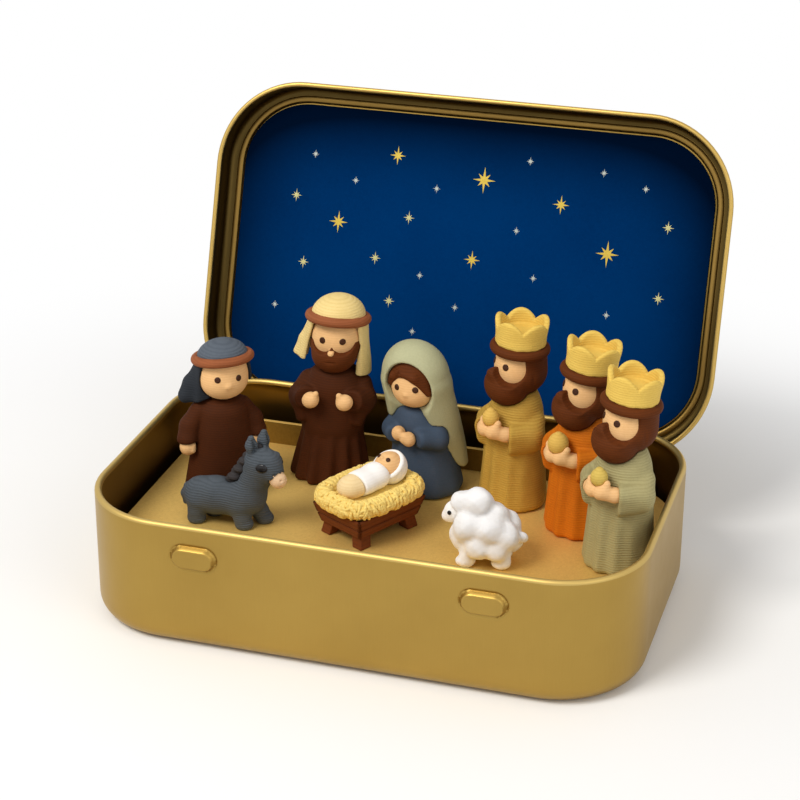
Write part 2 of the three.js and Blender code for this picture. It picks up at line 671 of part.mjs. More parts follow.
// Donkey, facing along the group's X axis with its head turned to the front

function donkey() {
  const look = new THREE.Matrix4().makeTranslation(5, 0, 0)
    .multiply(new THREE.Matrix4().makeRotationZ(rad(-28)))
    .multiply(new THREE.Matrix4().makeTranslation(-5, 0, 0));
  const turned = (points) => points.map((p) => new THREE.Vector3(...p).applyMatrix4(look).toArray());
  const muzzle = (g) => limb(turned([[7.7, 0, 9.1], [8.3, 0, 8.5]]), [1.45, 1.4], g);
  const leg = (x, y, step) => limb(
    [[x, y * 0.9, 3.6], [x + step * 0.6, y, 1.8], [x + step, y, 0]], [1.9, 1.45, 1.5], 0, true, false,
  );
  const ear = (side) => limb(
    turned([[4.5, side * 1.3, 13.2], [4.2, side * 1.5, 15.2], [4.3, side * 1.6, 16.7]]), [0.75, 0.75, 0.35],
  );
  const body = (g) => join(
    limb([[-6, 0, 4.3], [-3.2, 0, 4.4], [0.6, 0, 4.4], [2.6, 0, 5]], [2.95, 3, 2.95, 2.9], g, true, true, 10),
    limb([[2.6, 0, 5.4], [4.2, 0, 9], [5.1, 0, 11.5]], [2.75, 2.35, 2.2], g, true, true, 9),
    limb(turned([[4.7, 0, 11.9], [6.4, 0, 10.7], [7.8, 0, 9.2]]), [2.5, 2.25, 1.6], g, true, true, 9),
  );
  const mane = limb([[0.8, 0, 8.1], [1.8, 0, 10.2], [2.6, 0, 12.6]], [0.8, 0.95, 0.8]);
  const beast = join(
    body(0), ear(-1), ear(1),
    leg(-5.9, -1.7, -0.5), leg(-4.9, 1.7, 0.4), leg(1.7, -1.6, 0.5), leg(2.8, 1.6, 1.9),
    limb([[-8.5, 0, 5.4], [-9.1, 0, 3.9], [-9, 0, 2.3]], [0.6, 0.6, 0.5]),
  );
  return standing(DONKEY, [
    ['donkey_body', cut(beast, muzzle(GAP), box(-12, 12, -6, 6, -3, 0)), DONKEY_GREY],
    ['donkey_muzzle', muzzle(0), MUZZLE],
    ['donkey_mane', cut(mane, body(GAP)), DARK_GREY],
  ]);
}

// Sheep, facing against the group's X axis

function sheep() {
  const face = (g) => join(
    blob([-5.2, 0, 8.6], [1.7, 1.6, 1.9], g, 8),
    blob([-6.1, 0, 7.8], [1.1, 1.1, 1.1], g, 8),
  );
  const tufts = [
    [-3.9, 0, 10, 2.1], [-1.2, 0, 10.5, 2.6], [-2.6, 1.6, 7.3, 2.6], [-2.6, -1.6, 7.3, 2.6],
    [0.9, 2, 6.9, 2.6], [0.9, -2, 6.9, 2.6], [3.5, 1.5, 5.8, 2.5], [3.5, -1.5, 5.8, 2.5],
    [-2.9, 0, 4.6, 3.1], [5.9, 0, 4.7, 1.2],
  ];
  const fleece = join(
    blob([0.5, 0, 5.2], [5.1, 4.2, 3.6]),
    ...tufts.map(([x, y, z, r]) => blob([x, y, z], [r, r, r], 0, 8)),
    ...[[-2.7, -1.9], [-2.7, 1.9], [3.2, -1.9], [3.2, 1.9]].map(([x, y]) =>
      limb([[x, y, 3], [x, y, 0]], [1.3, 1.35], 0, true, false)),
  );
  return standing(SHEEP, [
    ['sheep_fleece', cut(fleece, face(GAP)), WHITE],
    ['sheep_face', face(0), WHITE],
  ]);
}

// Assembly

const tin = new THREE.Group();
tin.add(mesh('tin_base', tinBase(), GOLD_TIN));
tin.add(mesh('floor_card', floorCard(), GOLD_CARD));

const lid = new THREE.Group();
lid.position.set(0, HINGE_Y, HINGE_Z);
lid.rotation.x = rad(-LID_OPEN);
lid.add(mesh('tin_lid', tinLid(), GOLD_TIN));
lid.add(mesh('sky_card', skyCard(), NAVY_CARD));
tin.add(lid);

tin.add(shepherd(), father(), mother(), manger(), donkey(), sheep());
for (const one of KINGS) tin.add(king(one));

export default tin;
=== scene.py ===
import math

import bpy
import numpy as np
from mathutils import Matrix, Vector


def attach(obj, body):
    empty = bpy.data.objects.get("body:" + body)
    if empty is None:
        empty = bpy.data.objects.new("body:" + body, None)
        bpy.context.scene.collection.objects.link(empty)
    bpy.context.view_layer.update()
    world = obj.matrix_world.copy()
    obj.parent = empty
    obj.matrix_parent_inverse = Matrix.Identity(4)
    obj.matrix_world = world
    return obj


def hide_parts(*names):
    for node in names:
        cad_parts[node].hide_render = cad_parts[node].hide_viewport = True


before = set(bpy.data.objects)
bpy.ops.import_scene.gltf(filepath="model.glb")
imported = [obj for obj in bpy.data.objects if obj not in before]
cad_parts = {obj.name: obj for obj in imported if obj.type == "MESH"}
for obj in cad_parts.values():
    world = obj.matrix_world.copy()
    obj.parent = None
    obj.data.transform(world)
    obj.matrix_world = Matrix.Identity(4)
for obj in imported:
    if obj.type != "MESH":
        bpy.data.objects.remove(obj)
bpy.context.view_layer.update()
shade = np.random.default_rng(11)

MM = 0.001

# Tin sizes in millimetres, as in the solids except the lid's fillet and ridge and the snaps' crease
BASE_WIDTH, BASE_DEPTH, BASE_HEIGHT = 93.8, 59.0, 22.5
PLAN_RADIUS, BOTTOM_RADIUS, RIM_ROLL, SHEET = 15.0, 3.4, 0.6, 0.3
SNAP_X, SNAP_Z, SNAP_LONG, SNAP_HIGH, SNAP_RISE, SNAP_CREASE = (-24.7, 23.5), 16.9, 3.7, 1.95, 0.75, 0.2
HINGE_X, HINGE_Y, HINGE_Z = 21.0, 29.35, 16.85
BAR_HALF, SLOT_REACH, TAB_WIDTH, SLOT_PLAY = 0.3, 1.25, 9.0, 0.4
CURL_INNER, CURL_OUTER = 0.5, 0.8
LID_OPEN, LID_CLEARANCE, LID_BEAD, LID_FILLET, LID_RIDGE, RIDGE_FLAT = 108.6, 0.15, 0.45, 1.3, 0.58, 0.5
LID_BORDER, LID_STEP, LID_STEP_RUN = 2.5, 0.4, 0.25
SKIRT_EDGE_Z, PANEL_Z = 17.45, 22.8
SKY_INSET, SKY_FRONT, CARD = 2.8, 22.5, 0.4
FLOOR_TOP, FLOOR_THICK, FLOOR_INSET, FLOOR_BACK = 12.0, 0.8, 1.9, 25.0
UPSTAND_HALF, UPSTAND_HEIGHT, SIDE_FLAP_HALF, FRONT_FLAP_HALF, FLAP_LOW = 36.0, 4.3, 13.0, 30.0, 1.0

# Where each group stands, the way it faces in degrees, and its sideways sway per millimetre of height
STAND_Z = 12.3
SHEPHERD = ((-32.25, 3.2), 34, 0.025)
FATHER = ((-16.7, 15.9), 6, 0.055)
MOTHER = ((1.1, 15.9), -13, -0.085)
MANGER = ((-3.6, -2.3), 61, 0.0)
DONKEY = ((-26.3, -6.8), 0, 0.0)
SHEEP = ((18, -7.6), 9, 0.0)
# A king's place and turn, the head's lean about x and y in degrees, and the gift's radius
KINGS = {
    "king_one": ((17, 15.7), -28, (-2.4, 2.4), 1.45),
    "king_two": ((30.2, 9.3), -28, (-4.5, 4.5), 1.75),
    "king_three": ((39.1, -0.8), -26, (-4.5, 4.5), 1.42),
}
# The underside of a figure, measured from where it stands
SOLE = -0.28

# The crate's rim, planks and the seam between them, and the roll of straw: half sizes, height and radius
CRATE_RIM, PLANK, PLANK_SEAM = 5.5, 0.7, 0.1
STRAW_RING, STRAW_Z, STRAW_TUBE = (7.4, 5.2), 6.9, 1.45

# Straws on the bed and in its fringe, the sides of one straw, and its thickness from end to end
STRAWS, FRINGE = 480, 64
STRAND_SIDES, STRAND_SIZES = 6, (0.45, 0.9, 1.0, 0.9, 0.45)

# A sculpted field's room, the spacing of the first search, the probe for its slope and the usual cell
FIELD_LOW, FIELD_HIGH = (-13, -13, -2), (13, 13, 37)
COARSE, PROBE, CELL = 0.8, 0.02, 0.26
SKIRT_STEPS, SKIRT_BLUR = 160, 23

# Points on the lid's arcs, points round a star, and its shorter rays, notches and longer upright rays
FILLET_STEPS, BEAD_STEPS = 9, 14
STAR_RIM, STAR_SHORT, STAR_NOTCH, STAR_UPRIGHT = 16, 0.74, 0.3, 1.12

# Half width and depth in metres where the painted shade at the sky card's edges is full, and the middle that
# it is measured from
PAINTED_SHADE_ACROSS, PAINTED_SHADE_ALONG, PAINTED_SHADE_MIDDLE = 0.0475, 0.0345, 0.009

# The camera's azimuth, height and roll in degrees, and in millimetres its distance and the point it looks at
CAMERA_ANGLES, CAMERA_DISTANCE = (16.75, 23.88, 0.28), 367.86
AIM_HEIGHT, AIM_RIGHT, AIM_UP = 23.65, 1.372, 15.798

# Left and right, and the faces of a box whose lower corners come first
SIDES = (-1, 1)
BOX = ((3, 2, 1, 0), (4, 5, 6, 7), (0, 1, 5, 4), (1, 2, 6, 5), (2, 3, 7, 6), (3, 0, 4, 7))


# Materials

def linear(*rgb):
    """Colour as it shows, 0 to 255, as the linear value a shader takes."""
    return tuple(((c / 255 + 0.055) / 1.055) ** 2.4 if c > 10 else c / 255 / 12.92 for c in rgb) + (1.0,)


def effect(name, inputs, outputs):
    """An empty effect group, with the sockets that it is given and the sockets that it makes."""
    tree = bpy.data.node_groups.new(name, "ShaderNodeTree")
    for label, kind, value in inputs:
        socket = tree.interface.new_socket(label, in_out="INPUT", socket_type="NodeSocket" + kind)
        socket.default_value = value
    for label, kind in outputs:
        tree.interface.new_socket(label, in_out="OUTPUT", socket_type="NodeSocket" + kind)
    return tree, tree.nodes.new("NodeGroupInput").outputs, tree.nodes.new("NodeGroupOutput").inputs


def put(tree, socket, value):
    """Links or sets one socket."""
    if isinstance(value, bpy.types.NodeSocket):
        tree.links.new(value, socket)
    else:
        socket.default_value = value


def add(tree, kind, links=None, **settings):
    """A node with its settings and incoming links."""
    node = tree.nodes.new("ShaderNode" + kind)
    for key, value in settings.items():
        setattr(node, key, value)
    for key, value in (links or {}).items():
        put(tree, node.inputs[key], value)
    return node


def sums(tree, operation, *values):
    """The result of a math node."""
    return add(tree, "Math", dict(enumerate(values)), operation=operation).outputs[0]


def tint(tree, share, low, high):
    """A share of the way from one colour to another."""
    return add(tree, "Mix", {0: share, 6: low, 7: high}, data_type="RGBA").outputs[2]


def noise(tree, place, scale, detail, **more):
    """The value of a noise texture."""
    return add(tree, "TexNoise", {"Vector": place, "Scale": scale, "Detail": detail, **more}).outputs[0]


def ramp(tree, value, low, high, start=0.0, end=1.0):
    """A value taken from one range to another."""
    return add(tree, "MapRange", {0: value, 1: low, 2: high, 3: start, 4: end}).outputs[0]


def far_out(tree, value, middle, reach, power):
    """How far a coordinate lies from a middle, as a share of a reach, raised to a power."""
    share = sums(tree, "DIVIDE", sums(tree, "SUBTRACT", value, middle), reach)
    return sums(tree, "POWER", sums(tree, "ABSOLUTE", share), power)


def seen_rays(tree):
    """One where the camera sees, straight or by reflection, and zero for light that only falls."""
    path = add(tree, "LightPath").outputs
    bounced = sums(tree, "MAXIMUM", path["Is Glossy Ray"], path["Is Transmission Ray"])
    return sums(tree, "MAXIMUM", path["Is Camera Ray"], bounced)


def layer_lines():
    """Fine level lines of a printed figure, across its height, and the grain of its plastic; also how deep
    each line's groove is, for painted shade in the grooves.
    """
    tree, given, made = effect(
        "Layer lines",
        [("Spacing", "Float", 0.0004), ("Wander", "Float", 0.5), ("Lines", "Float", 1.0),
         ("Speckle", "Float", 0.3)],
        [("Height", "Float"), ("Groove", "Float")],
    )
    place = add(tree, "TexCoord").outputs["Object"]
    level = add(tree, "SeparateXYZ", {0: place}).outputs[2]
    drift = sums(tree, "SUBTRACT", noise(tree, place, 260.0, 2.0), 0.5)
    drift = sums(tree, "MULTIPLY", drift, given["Wander"])
    turn = sums(tree, "ADD", sums(tree, "DIVIDE", level, given["Spacing"]), drift)
    wave = sums(tree, "SINE", sums(tree, "MULTIPLY", turn, math.tau))
    wave = sums(tree, "MULTIPLY_ADD", wave, 0.5, 0.5)
    wear = ramp(tree, noise(tree, place, 420.0, 3.0), 0.3, 0.7, 0.35, 1.0)
    wave = sums(tree, "MULTIPLY", sums(tree, "MULTIPLY", wave, wear), given["Lines"])
    speck = sums(tree, "MULTIPLY", noise(tree, place, 4200.0, 2.0), given["Speckle"])
    tree.links.new(sums(tree, "ADD", wave, speck), made["Height"])
    deep = sums(tree, "SUBTRACT", given["Lines"], wave)
    tree.links.new(sums(tree, "POWER", sums(tree, "MAXIMUM", deep, 0.0), 3.0), made["Groove"])
    return tree


def mottle():
    """Slow and fine colour change of one finish, with its roughness; the grooves of the layer lines are
    darkened as painted shade.
    """
    tree, given, made = effect(
        "Mottle",
        [("Colour", "Color", (0.5, 0.5, 0.5, 1)), ("Deep", "Color", (0.3, 0.3, 0.3, 1)),
         ("Patch", "Float", 200.0), ("Amount", "Float", 0.35), ("Groove", "Float", 0.0),
         ("Dull", "Float", 0.7)],
        [("Colour", "Color"), ("Roughness", "Float")],
    )
    place = add(tree, "TexCoord").outputs["Object"]
    slow = noise(tree, place, given["Patch"], 4.0)
    fine = noise(tree, place, 3000.0, 3.0)
    both = sums(tree, "MULTIPLY_ADD", fine, 0.45, sums(tree, "MULTIPLY", slow, 0.55))
    span = ramp(tree, both, 0.34, 0.66)
    share = sums(tree, "MULTIPLY", sums(tree, "SUBTRACT", 1.0, span), given["Amount"])
    # Darker in the layer lines' grooves: painted shade
    share = sums(tree, "MULTIPLY_ADD", given["Groove"], 0.3, share)
    tree.links.new(tint(tree, share, given["Colour"], given["Deep"]), made["Colour"])
    rough = sums(tree, "MULTIPLY_ADD", sums(tree, "SUBTRACT", span, 0.5), 0.16, given["Dull"])
    tree.links.new(rough, made["Roughness"])
    return tree


def lacquer():
    """Gold lacquer on drawn sheet: drawing lines, faint peel and rubbed patches."""
    tree, given, made = effect(
        "Gold lacquer",
        [("Colour", "Color", (0.5, 0.3, 0.1, 1)), ("Deep", "Color", (0.3, 0.2, 0.1, 1)),
         ("Dull", "Float", 0.3)],
        [("Colour", "Color"), ("Roughness", "Float"), ("Height", "Float")],
    )
    place = add(tree, "TexCoord").outputs["Object"]
    cloud = noise(tree, place, 60.0, 5.0)
    drawn_out = add(tree, "Mapping", {"Vector": place, "Scale": (9000.0, 260.0, 260.0)}).outputs[0]
    lines = noise(tree, drawn_out, 1.0, 3.0)
    peel = noise(tree, place, 2600.0, 2.0)
    share = sums(tree, "MULTIPLY_ADD", lines, 0.14, ramp(tree, cloud, 0.36, 0.74, 0.0, 0.26))
    tree.links.new(tint(tree, share, given["Colour"], given["Deep"]), made["Colour"])
    rough = sums(tree, "MULTIPLY_ADD", sums(tree, "SUBTRACT", cloud, 0.5), 0.16, given["Dull"])
    tree.links.new(sums(tree, "MULTIPLY_ADD", lines, 0.05, rough), made["Roughness"])
    tree.links.new(sums(tree, "MULTIPLY_ADD", lines, 0.6, peel), made["Height"])
    return tree


def card_face():
    """Printed card: short fibres, fine specks and a faint cloud in the ink."""
    tree, given, made = effect(
        "Card face",
        [("Colour", "Color", (0.1, 0.1, 0.3, 1)), ("Deep", "Color", (0.0, 0.0, 0.1, 1)),
         ("Amount", "Float", 0.4), ("Dull", "Float", 0.6)],
        [("Colour", "Color"), ("Roughness", "Float"), ("Height", "Float")],
    )
    place = add(tree, "TexCoord").outputs["Object"]
    fibre = noise(tree, place, 1900.0, 4.0, Distortion=1.2)
    cloud = ramp(tree, noise(tree, place, 40.0, 4.0), 0.35, 0.65)
    share = sums(tree, "MULTIPLY", cloud, given["Amount"])
    share = sums(tree, "MULTIPLY_ADD", sums(tree, "SUBTRACT", fibre, 0.5), 0.9, share)
    share = add(tree, "Clamp", {0: share}).outputs[0]
    tree.links.new(tint(tree, share, given["Colour"], given["Deep"]), made["Colour"])
    tree.links.new(sums(tree, "MULTIPLY_ADD", fibre, 0.2, given["Dull"]), made["Roughness"])
    tree.links.new(fibre, made["Height"])
    return tree


LINES, MOTTLE, LACQUER, CARD_FACE = layer_lines(), mottle(), lacquer(), card_face()


def finish_of(name):
    """A new material with its shader."""
    material = bpy.data.materials.new(name)
    material.use_nodes = True
    tree = material.node_tree
    return material, tree, tree.nodes["Principled BSDF"]


def placed(tree, group, **values):
    """An effect group placed in a material with its own values."""
    node = tree.nodes.new("ShaderNodeGroup")
    node.node_tree = group
    for key, value in values.items():
        put(tree, node.inputs[key.capitalize()], value)
    return node.outputs


def coated(tree, shader, coat, height, depth):
    """Joins a coat's colour, roughness and height to the shader."""
    tree.links.new(coat["Colour"], shader.inputs["Base Color"])
    tree.links.new(coat["Roughness"], shader.inputs["Roughness"])
    bump = add(tree, "Bump", {"Height": height, "Distance": depth})
    tree.links.new(bump.outputs[0], shader.inputs["Normal"])


def printed(name, colour, deep, depth=0.00004, spacing=0.00042, dull=0.75, wander=0.5, lines=1.0,
            speckle=0.3, shine=0.2):
    """Matte printed plastic with its layer lines."""
    material, tree, shader = finish_of(name)
    level = placed(tree, LINES, spacing=spacing, wander=wander, lines=lines, speckle=speckle)
    # The colour darkens in the layer lines' grooves: painted shade
    coat = placed(tree, MOTTLE, colour=linear(*colour), deep=linear(*deep), groove=level["Groove"], dull=dull)
    coated(tree, shader, coat, level["Height"], depth)
    shader.inputs["Specular IOR Level"].default_value = shine
    return material


def gold_tin(name, colour, deep, dull, rim=None):
    """Lacquered tinplate; rim is a low and a high level and the brighter colour it rises to between them,
    painted light that lifts the inner walls' painted shade towards their top.
    """
    material, tree, shader = finish_of(name)
    coat = placed(tree, LACQUER, colour=linear(*colour), deep=linear(*deep), dull=dull)
    coated(tree, shader, coat, coat["Height"], 0.000004)
    if rim:
        # Painted light: the colour brightens between the two levels
        level = add(tree, "SeparateXYZ", {0: add(tree, "TexCoord").outputs["Object"]}).outputs[2]
        painted_light_towards_top = tint(tree, ramp(tree, level, rim[0], rim[1]), coat["Colour"], linear(*rim[2]))
        tree.links.new(painted_light_towards_top, shader.inputs["Base Color"])
    shader.inputs["Metallic"].default_value = 1.0
    return material


def card(name, colour, deep, dull, metal=0.0, amount=0.4, shine=0.3, painted_edge_shade=None):
    """Printed card; the last argument is a darker colour painted towards the edges of the sky card, as
    painted shade from the lid's rim.
    """
    material, tree, shader = finish_of(name)
    coat = placed(tree, CARD_FACE, colour=linear(*colour), deep=linear(*deep), dull=dull, amount=amount)
    coated(tree, shader, coat, coat["Height"], 0.00001)
    shader.inputs["Metallic"].default_value = metal
    shader.inputs["Specular IOR Level"].default_value = shine
    # Painted shade: the print darkens towards the sky card's edges
    if painted_edge_shade:
        place = add(tree, "TexCoord").outputs["Object"]
        across, along = add(tree, "SeparateXYZ", {0: place}).outputs[:2]
        across = far_out(tree, across, 0.0, PAINTED_SHADE_ACROSS, 4.5)
        along = far_out(tree, along, PAINTED_SHADE_MIDDLE, PAINTED_SHADE_ALONG, 3.6)
        edge = add(tree, "Clamp", {0: sums(tree, "ADD", across, along)}).outputs[0]
        tree.links.new(tint(tree, edge, coat["Colour"], linear(*painted_edge_shade)), shader.inputs["Base Color"])
    return material


# Finishes: the colour as it shows, the deeper one that it mottles to, and how dull it is or how it is lined
TIN = gold_tin("gold_tin", (175, 144, 74), (143, 113, 52), 0.38)
# Lighter, rougher gold for the rolled rim: a painted highlight along the rim's edge
TIN_RIM_HIGHLIGHT = gold_tin("gold_tin_rim_highlight", (196, 168, 100), (176, 146, 82), 0.46)
# Lighter gold for the lid's bead: a painted highlight
TIN_BEAD_HIGHLIGHT = gold_tin("gold_tin_bead_highlight", (190, 160, 90), (164, 134, 68), 0.4)
# Dimmer gold for the lid's border ridge: painted shade
TIN_PAINTED_SHADE_DIM = gold_tin("gold_tin_painted_shade_dim", (140, 112, 58), (112, 88, 42), 0.38)
# Darker gold for the inner walls: painted shade, rising to painted light towards the rim
TIN_INSIDE_PAINTED_SHADE = gold_tin("gold_tin_inside_painted_shade", (98, 74, 33), (75, 55, 21), 0.38, (0.0145, 0.0225, (132, 104, 48)))
# Darkest gold for the lid's inner skirt: painted shade
TIN_SKIRT_PAINTED_SHADE = gold_tin("gold_tin_skirt_painted_shade", (84, 68, 34), (60, 46, 20), 0.34)
# Navy sky card, darker towards its edges as painted shade from the lid's rim
NAVY = card("navy_card", (1, 50, 103), (1, 36, 82), 0.8, shine=0.0, painted_edge_shade=(1, 13, 34))
STAR_GOLD = card("star_gold", (212, 184, 76), (188, 156, 54), 0.6)
STAR_LIGHT = card("star_light", (200, 194, 136), (174, 166, 108), 0.6)
STAR_PALE = card("star_pale", (188, 194, 186), (160, 166, 158), 0.6)
GOLD_CARD = card("gold_card", (238, 200, 114), (204, 161, 80), 0.5, metal=0.6, amount=0.4)
# Darker gold card for the upstand: painted shade
CARD_PAINTED_SHADE = card("gold_card_painted_shade", (136, 108, 46), (106, 80, 28), 0.5, metal=0.6, amount=0.4)
CUT_EDGE = card("card_cut_edge", (232, 206, 150), (200, 168, 108), 0.7)
SKIN = printed("skin", (236, 190, 134), (216, 164, 104), 0.000015, speckle=0.5)
EYE = printed("eye_brown", (66, 34, 14), (44, 22, 10), 0.00001, dull=0.45)
EYE_BLACK = printed("eye_black", (22, 20, 22), (12, 11, 13), 0.00001, dull=0.3, shine=0.4)
BROWN = printed("brown_cloth", (74, 35, 11), (48, 21, 6), 0.000022, shine=0.12)
SLATE = printed("slate_cloth", (90, 98, 108), (60, 67, 77), 0.00006)
# Darker slate for the shepherd's scarf: painted shade
SLATE_PAINTED_SHADE = printed("slate_cloth_painted_shade", (40, 44, 50), (26, 30, 36), 0.00004)
ROPE = printed("rope_brown", (152, 88, 52), (116, 60, 32), 0.00003)
HAIR = printed("hair_brown", (97, 48, 16), (67, 30, 8), 0.000025, shine=0.12)
CREAM = printed("cream_cloth", (234, 208, 142), (206, 176, 104), 0.00004)
SAGE = printed("sage_veil", (180, 179, 142), (145, 144, 108), 0.00003, lines=0.35, speckle=1.6)
GOWN = printed("blue_gown", (64, 78, 96), (43, 54, 70), 0.00003, lines=0.4, speckle=1.2)
MUSTARD = printed("mustard_robe", (195, 157, 70), (155, 116, 38), 0.00006)
ORANGE = printed("orange_robe", (208, 113, 11), (174, 84, 4), 0.00004)
SAGE_ROBE = printed("sage_robe", (171, 162, 116), (139, 128, 84), 0.00006)
CROWN = printed("crown_gold", (230, 196, 97), (202, 162, 67), 0.00004, speckle=0.8)
GIFT = printed("gift_gold", (222, 182, 92), (194, 150, 62), 0.00003)
GIFT_YELLOW = printed("gift_yellow", (212, 184, 94), (184, 152, 63), 0.00003)
WOOD = printed("crate_brown", (110, 54, 20), (74, 34, 10), 0.00004, spacing=0.0007)
STRAW = printed("straw", (247, 219, 130), (220, 182, 90), 0.00003, speckle=0.8)
WHITE = printed("white_cloth", (250, 247, 243), (237, 233, 227), 0.000015)
FOOT_WRAP = printed("foot_wrap", (242, 216, 166), (224, 192, 136), 0.000015)
FLEECE = printed("fleece", (240, 239, 238), (220, 219, 222), 0.00002, lines=0.5, speckle=1.0)
DONKEY_COAT = printed("donkey_coat", (82, 89, 96), (48, 53, 58), 0.00008, spacing=0.0004, wander=1.4)
MANE = printed("mane_dark", (58, 54, 54), (34, 31, 33), 0.00005, wander=1.2)
MUZZLE = printed("muzzle", (230, 196, 158), (208, 170, 130), 0.00002)


# Sculpting: a printed piece is a soft field in millimetres, below zero inside, that is skinned as a mesh

def size_of(v):
    """The length of each row."""
    return np.sqrt(np.einsum("ij,ij->i", v, v))


def ball(centre, radii):
    """An ellipsoid."""
    centre, radii = np.array(centre, float), np.ones(3) * np.array(radii, float)

    def field(p):
        q = p - centre
        near = size_of(q / radii)
        return near * (near - 1) / np.maximum(size_of(q / radii**2), 1e-6)
    return field


def rod(start, end, r0, r1):
    """A rounded rod whose radius goes from r0 to r1."""
    start, end = np.array(start, float), np.array(end, float)
    along = end - start

    def field(p):
        t = np.clip((p - start) @ along / (along @ along), 0, 1)
        return size_of(p - start - t[:, None] * along) - (r0 + (r1 - r0) * t)
    return field


def ring(radius, tube, z, flat=1.0):
    """A ring about the upright axis, flattened by a share."""
    return lambda p: np.hypot(np.hypot(p[:, 0], p[:, 1]) - radius, (p[:, 2] - z) / flat) - tube


def half(normal, offset):
    """The space behind a plane."""
    normal = np.array(normal, float) / np.linalg.norm(normal)
    return lambda p: p @ normal - offset


def above(z):
    """The space above a level."""
    return half((0, 0, -1), -z)


def soft_min(a, b, k):
    """The lesser of two values, rounded where they are within k."""
    h = np.clip(0.5 + 0.5 * (b - a) / k, 0, 1)
    return b + (a - b) * h - k * h * (1 - h)


def blend(k, *fields):
    """Fields joined with a soft fillet."""
    def field(p):
        d = fields[0](p)
        for other in fields[1:]:
            d = soft_min(d, other(p), k)
        return d
    return field


def carve(k, body, *tools):
    """A body less the tools, with rounded edges."""
    def field(p):
        d = body(p)
        for tool in tools:
            d = -soft_min(-d, tool(p), k)
        return d
    return field


def within(k, body, *limits):
    """A body inside all its limits, with rounded edges."""
    def field(p):
        d = body(p)
        for limit in limits:
            d = -soft_min(-d, -limit(p), k)
        return d
    return field


def grown(field, by):
    """A field swollen by a length."""
    return lambda p: field(p) - by


def chain(points, radii, k=0.6):
    """Rods joined end to end."""
    return blend(k, *[rod(points[i], points[i + 1], radii[i], radii[i + 1]) for i in range(len(points) - 1)])


def mirror(points, side):
    """Points for one side of a figure."""
    return [(x * side, y, z) for x, y, z in points]


def skirt(rows, folds=None, k=0.9):
    """A robe or cape from rows of height, half width, half depth and forward shift."""
    z, rx, ry, shift = np.array(rows, float).T
    fine = np.linspace(z[0], z[-1], SKIRT_STEPS)
    kernel = np.hanning(SKIRT_BLUR) / np.hanning(SKIRT_BLUR).sum()

    def smoothed(row):
        return np.convolve(np.pad(np.interp(fine, z, row), SKIRT_BLUR // 2, "edge"), kernel, "valid")
    tables = [smoothed(row) for row in (rx, ry, shift)]

    def field(p):
        a, b, s = (np.interp(p[:, 2], fine, table) for table in tables)
        x, y = p[:, 0] / a, (p[:, 1] - s) / b
        side = (np.hypot(x, y) - 1) * np.minimum(a, b)
        if folds:
            side = side - folds(p, np.arctan2(y, x))
        return -soft_min(-side, -np.maximum(p[:, 2] - z[-1], z[0] - p[:, 2]), k)
    return field


def leaning(about_x, about_y, about_z, z):
    """A turn in degrees about a point on the figure's axis, one for fields and one for points."""
    angles = zip((about_x, about_y, about_z), "XYZ")
    turn = np.linalg.multi_dot([np.array(Matrix.Rotation(math.radians(a), 3, axis)) for a, axis in angles])
    pivot = np.array((0, 0, z))

    def of_field(field):
        return lambda p: field((p - pivot) @ turn + pivot)

    def of_points(points):
        return (np.array(points) - pivot) @ turn.T + pivot
    return of_field, of_points


def lattice(low, high, cell):
    """The points of a box with one spacing, and their counts."""
    axes = [np.arange(a, b + cell, cell) for a, b in zip(low, high)]
    return np.stack(np.meshgrid(*axes, indexing="ij"), -1).reshape(-1, 3), [len(a) for a in axes]


def skin(field, cell):
    """Points and faces of the field's surface: a point in each cell that it crosses, drawn onto it."""
    points, _ = lattice(FIELD_LOW, FIELD_HIGH, COARSE)
    near = points[field(points) < COARSE]
    low = near.min(0) - 1
    points, shape = lattice(low, near.max(0) + 1, cell)
    d = field(points).reshape(shape)
    inside = d < 0
    step, cells = np.eye(3, dtype=int), np.array(shape) - 1
    corners, spots = [], []
    for axis in range(3):
        b, c = step[(axis + 1) % 3], step[(axis + 2) % 3]
        e = np.argwhere(np.diff(inside, axis=axis))
        d0, d1 = d[tuple(e.T)], d[tuple((e + step[axis]).T)]
        spots.append(low + (e + (d0 / (d0 - d1))[:, None] * step[axis]) * cell)
        around = np.stack([np.ravel_multi_index(q.T, cells) for q in (e - b - c, e - c, e, e - b)], 1)
        corners.append(np.where((d0 < 0)[:, None], around, around[:, ::-1]))
    corners, spots = np.concatenate(corners), np.concatenate(spots)
    _, each = np.unique(corners, return_inverse=True)
    each = each.ravel()
    weight = np.bincount(each)[:, None]
    verts = np.stack([np.bincount(each, np.repeat(spots[:, i], 4)) for i in range(3)], 1) / weight
    for _ in range(2):
        d = field(verts)
        slope = np.stack([field(verts + PROBE * axis) - d for axis in np.eye(3)], 1) / PROBE
        verts -= (np.clip(d, -cell, cell) / np.maximum((slope**2).sum(1), 0.3))[:, None] * slope
    return verts, each.reshape(corners.shape)


# Pieces

def standing(place):
    """A figure's place as a matrix, with its sway."""
    (x, y), turn, sway = place
    spot = Matrix.Translation((x * MM, y * MM, STAND_Z * MM))
    return spot @ Matrix.Rotation(math.radians(turn), 4, "Z"), sway


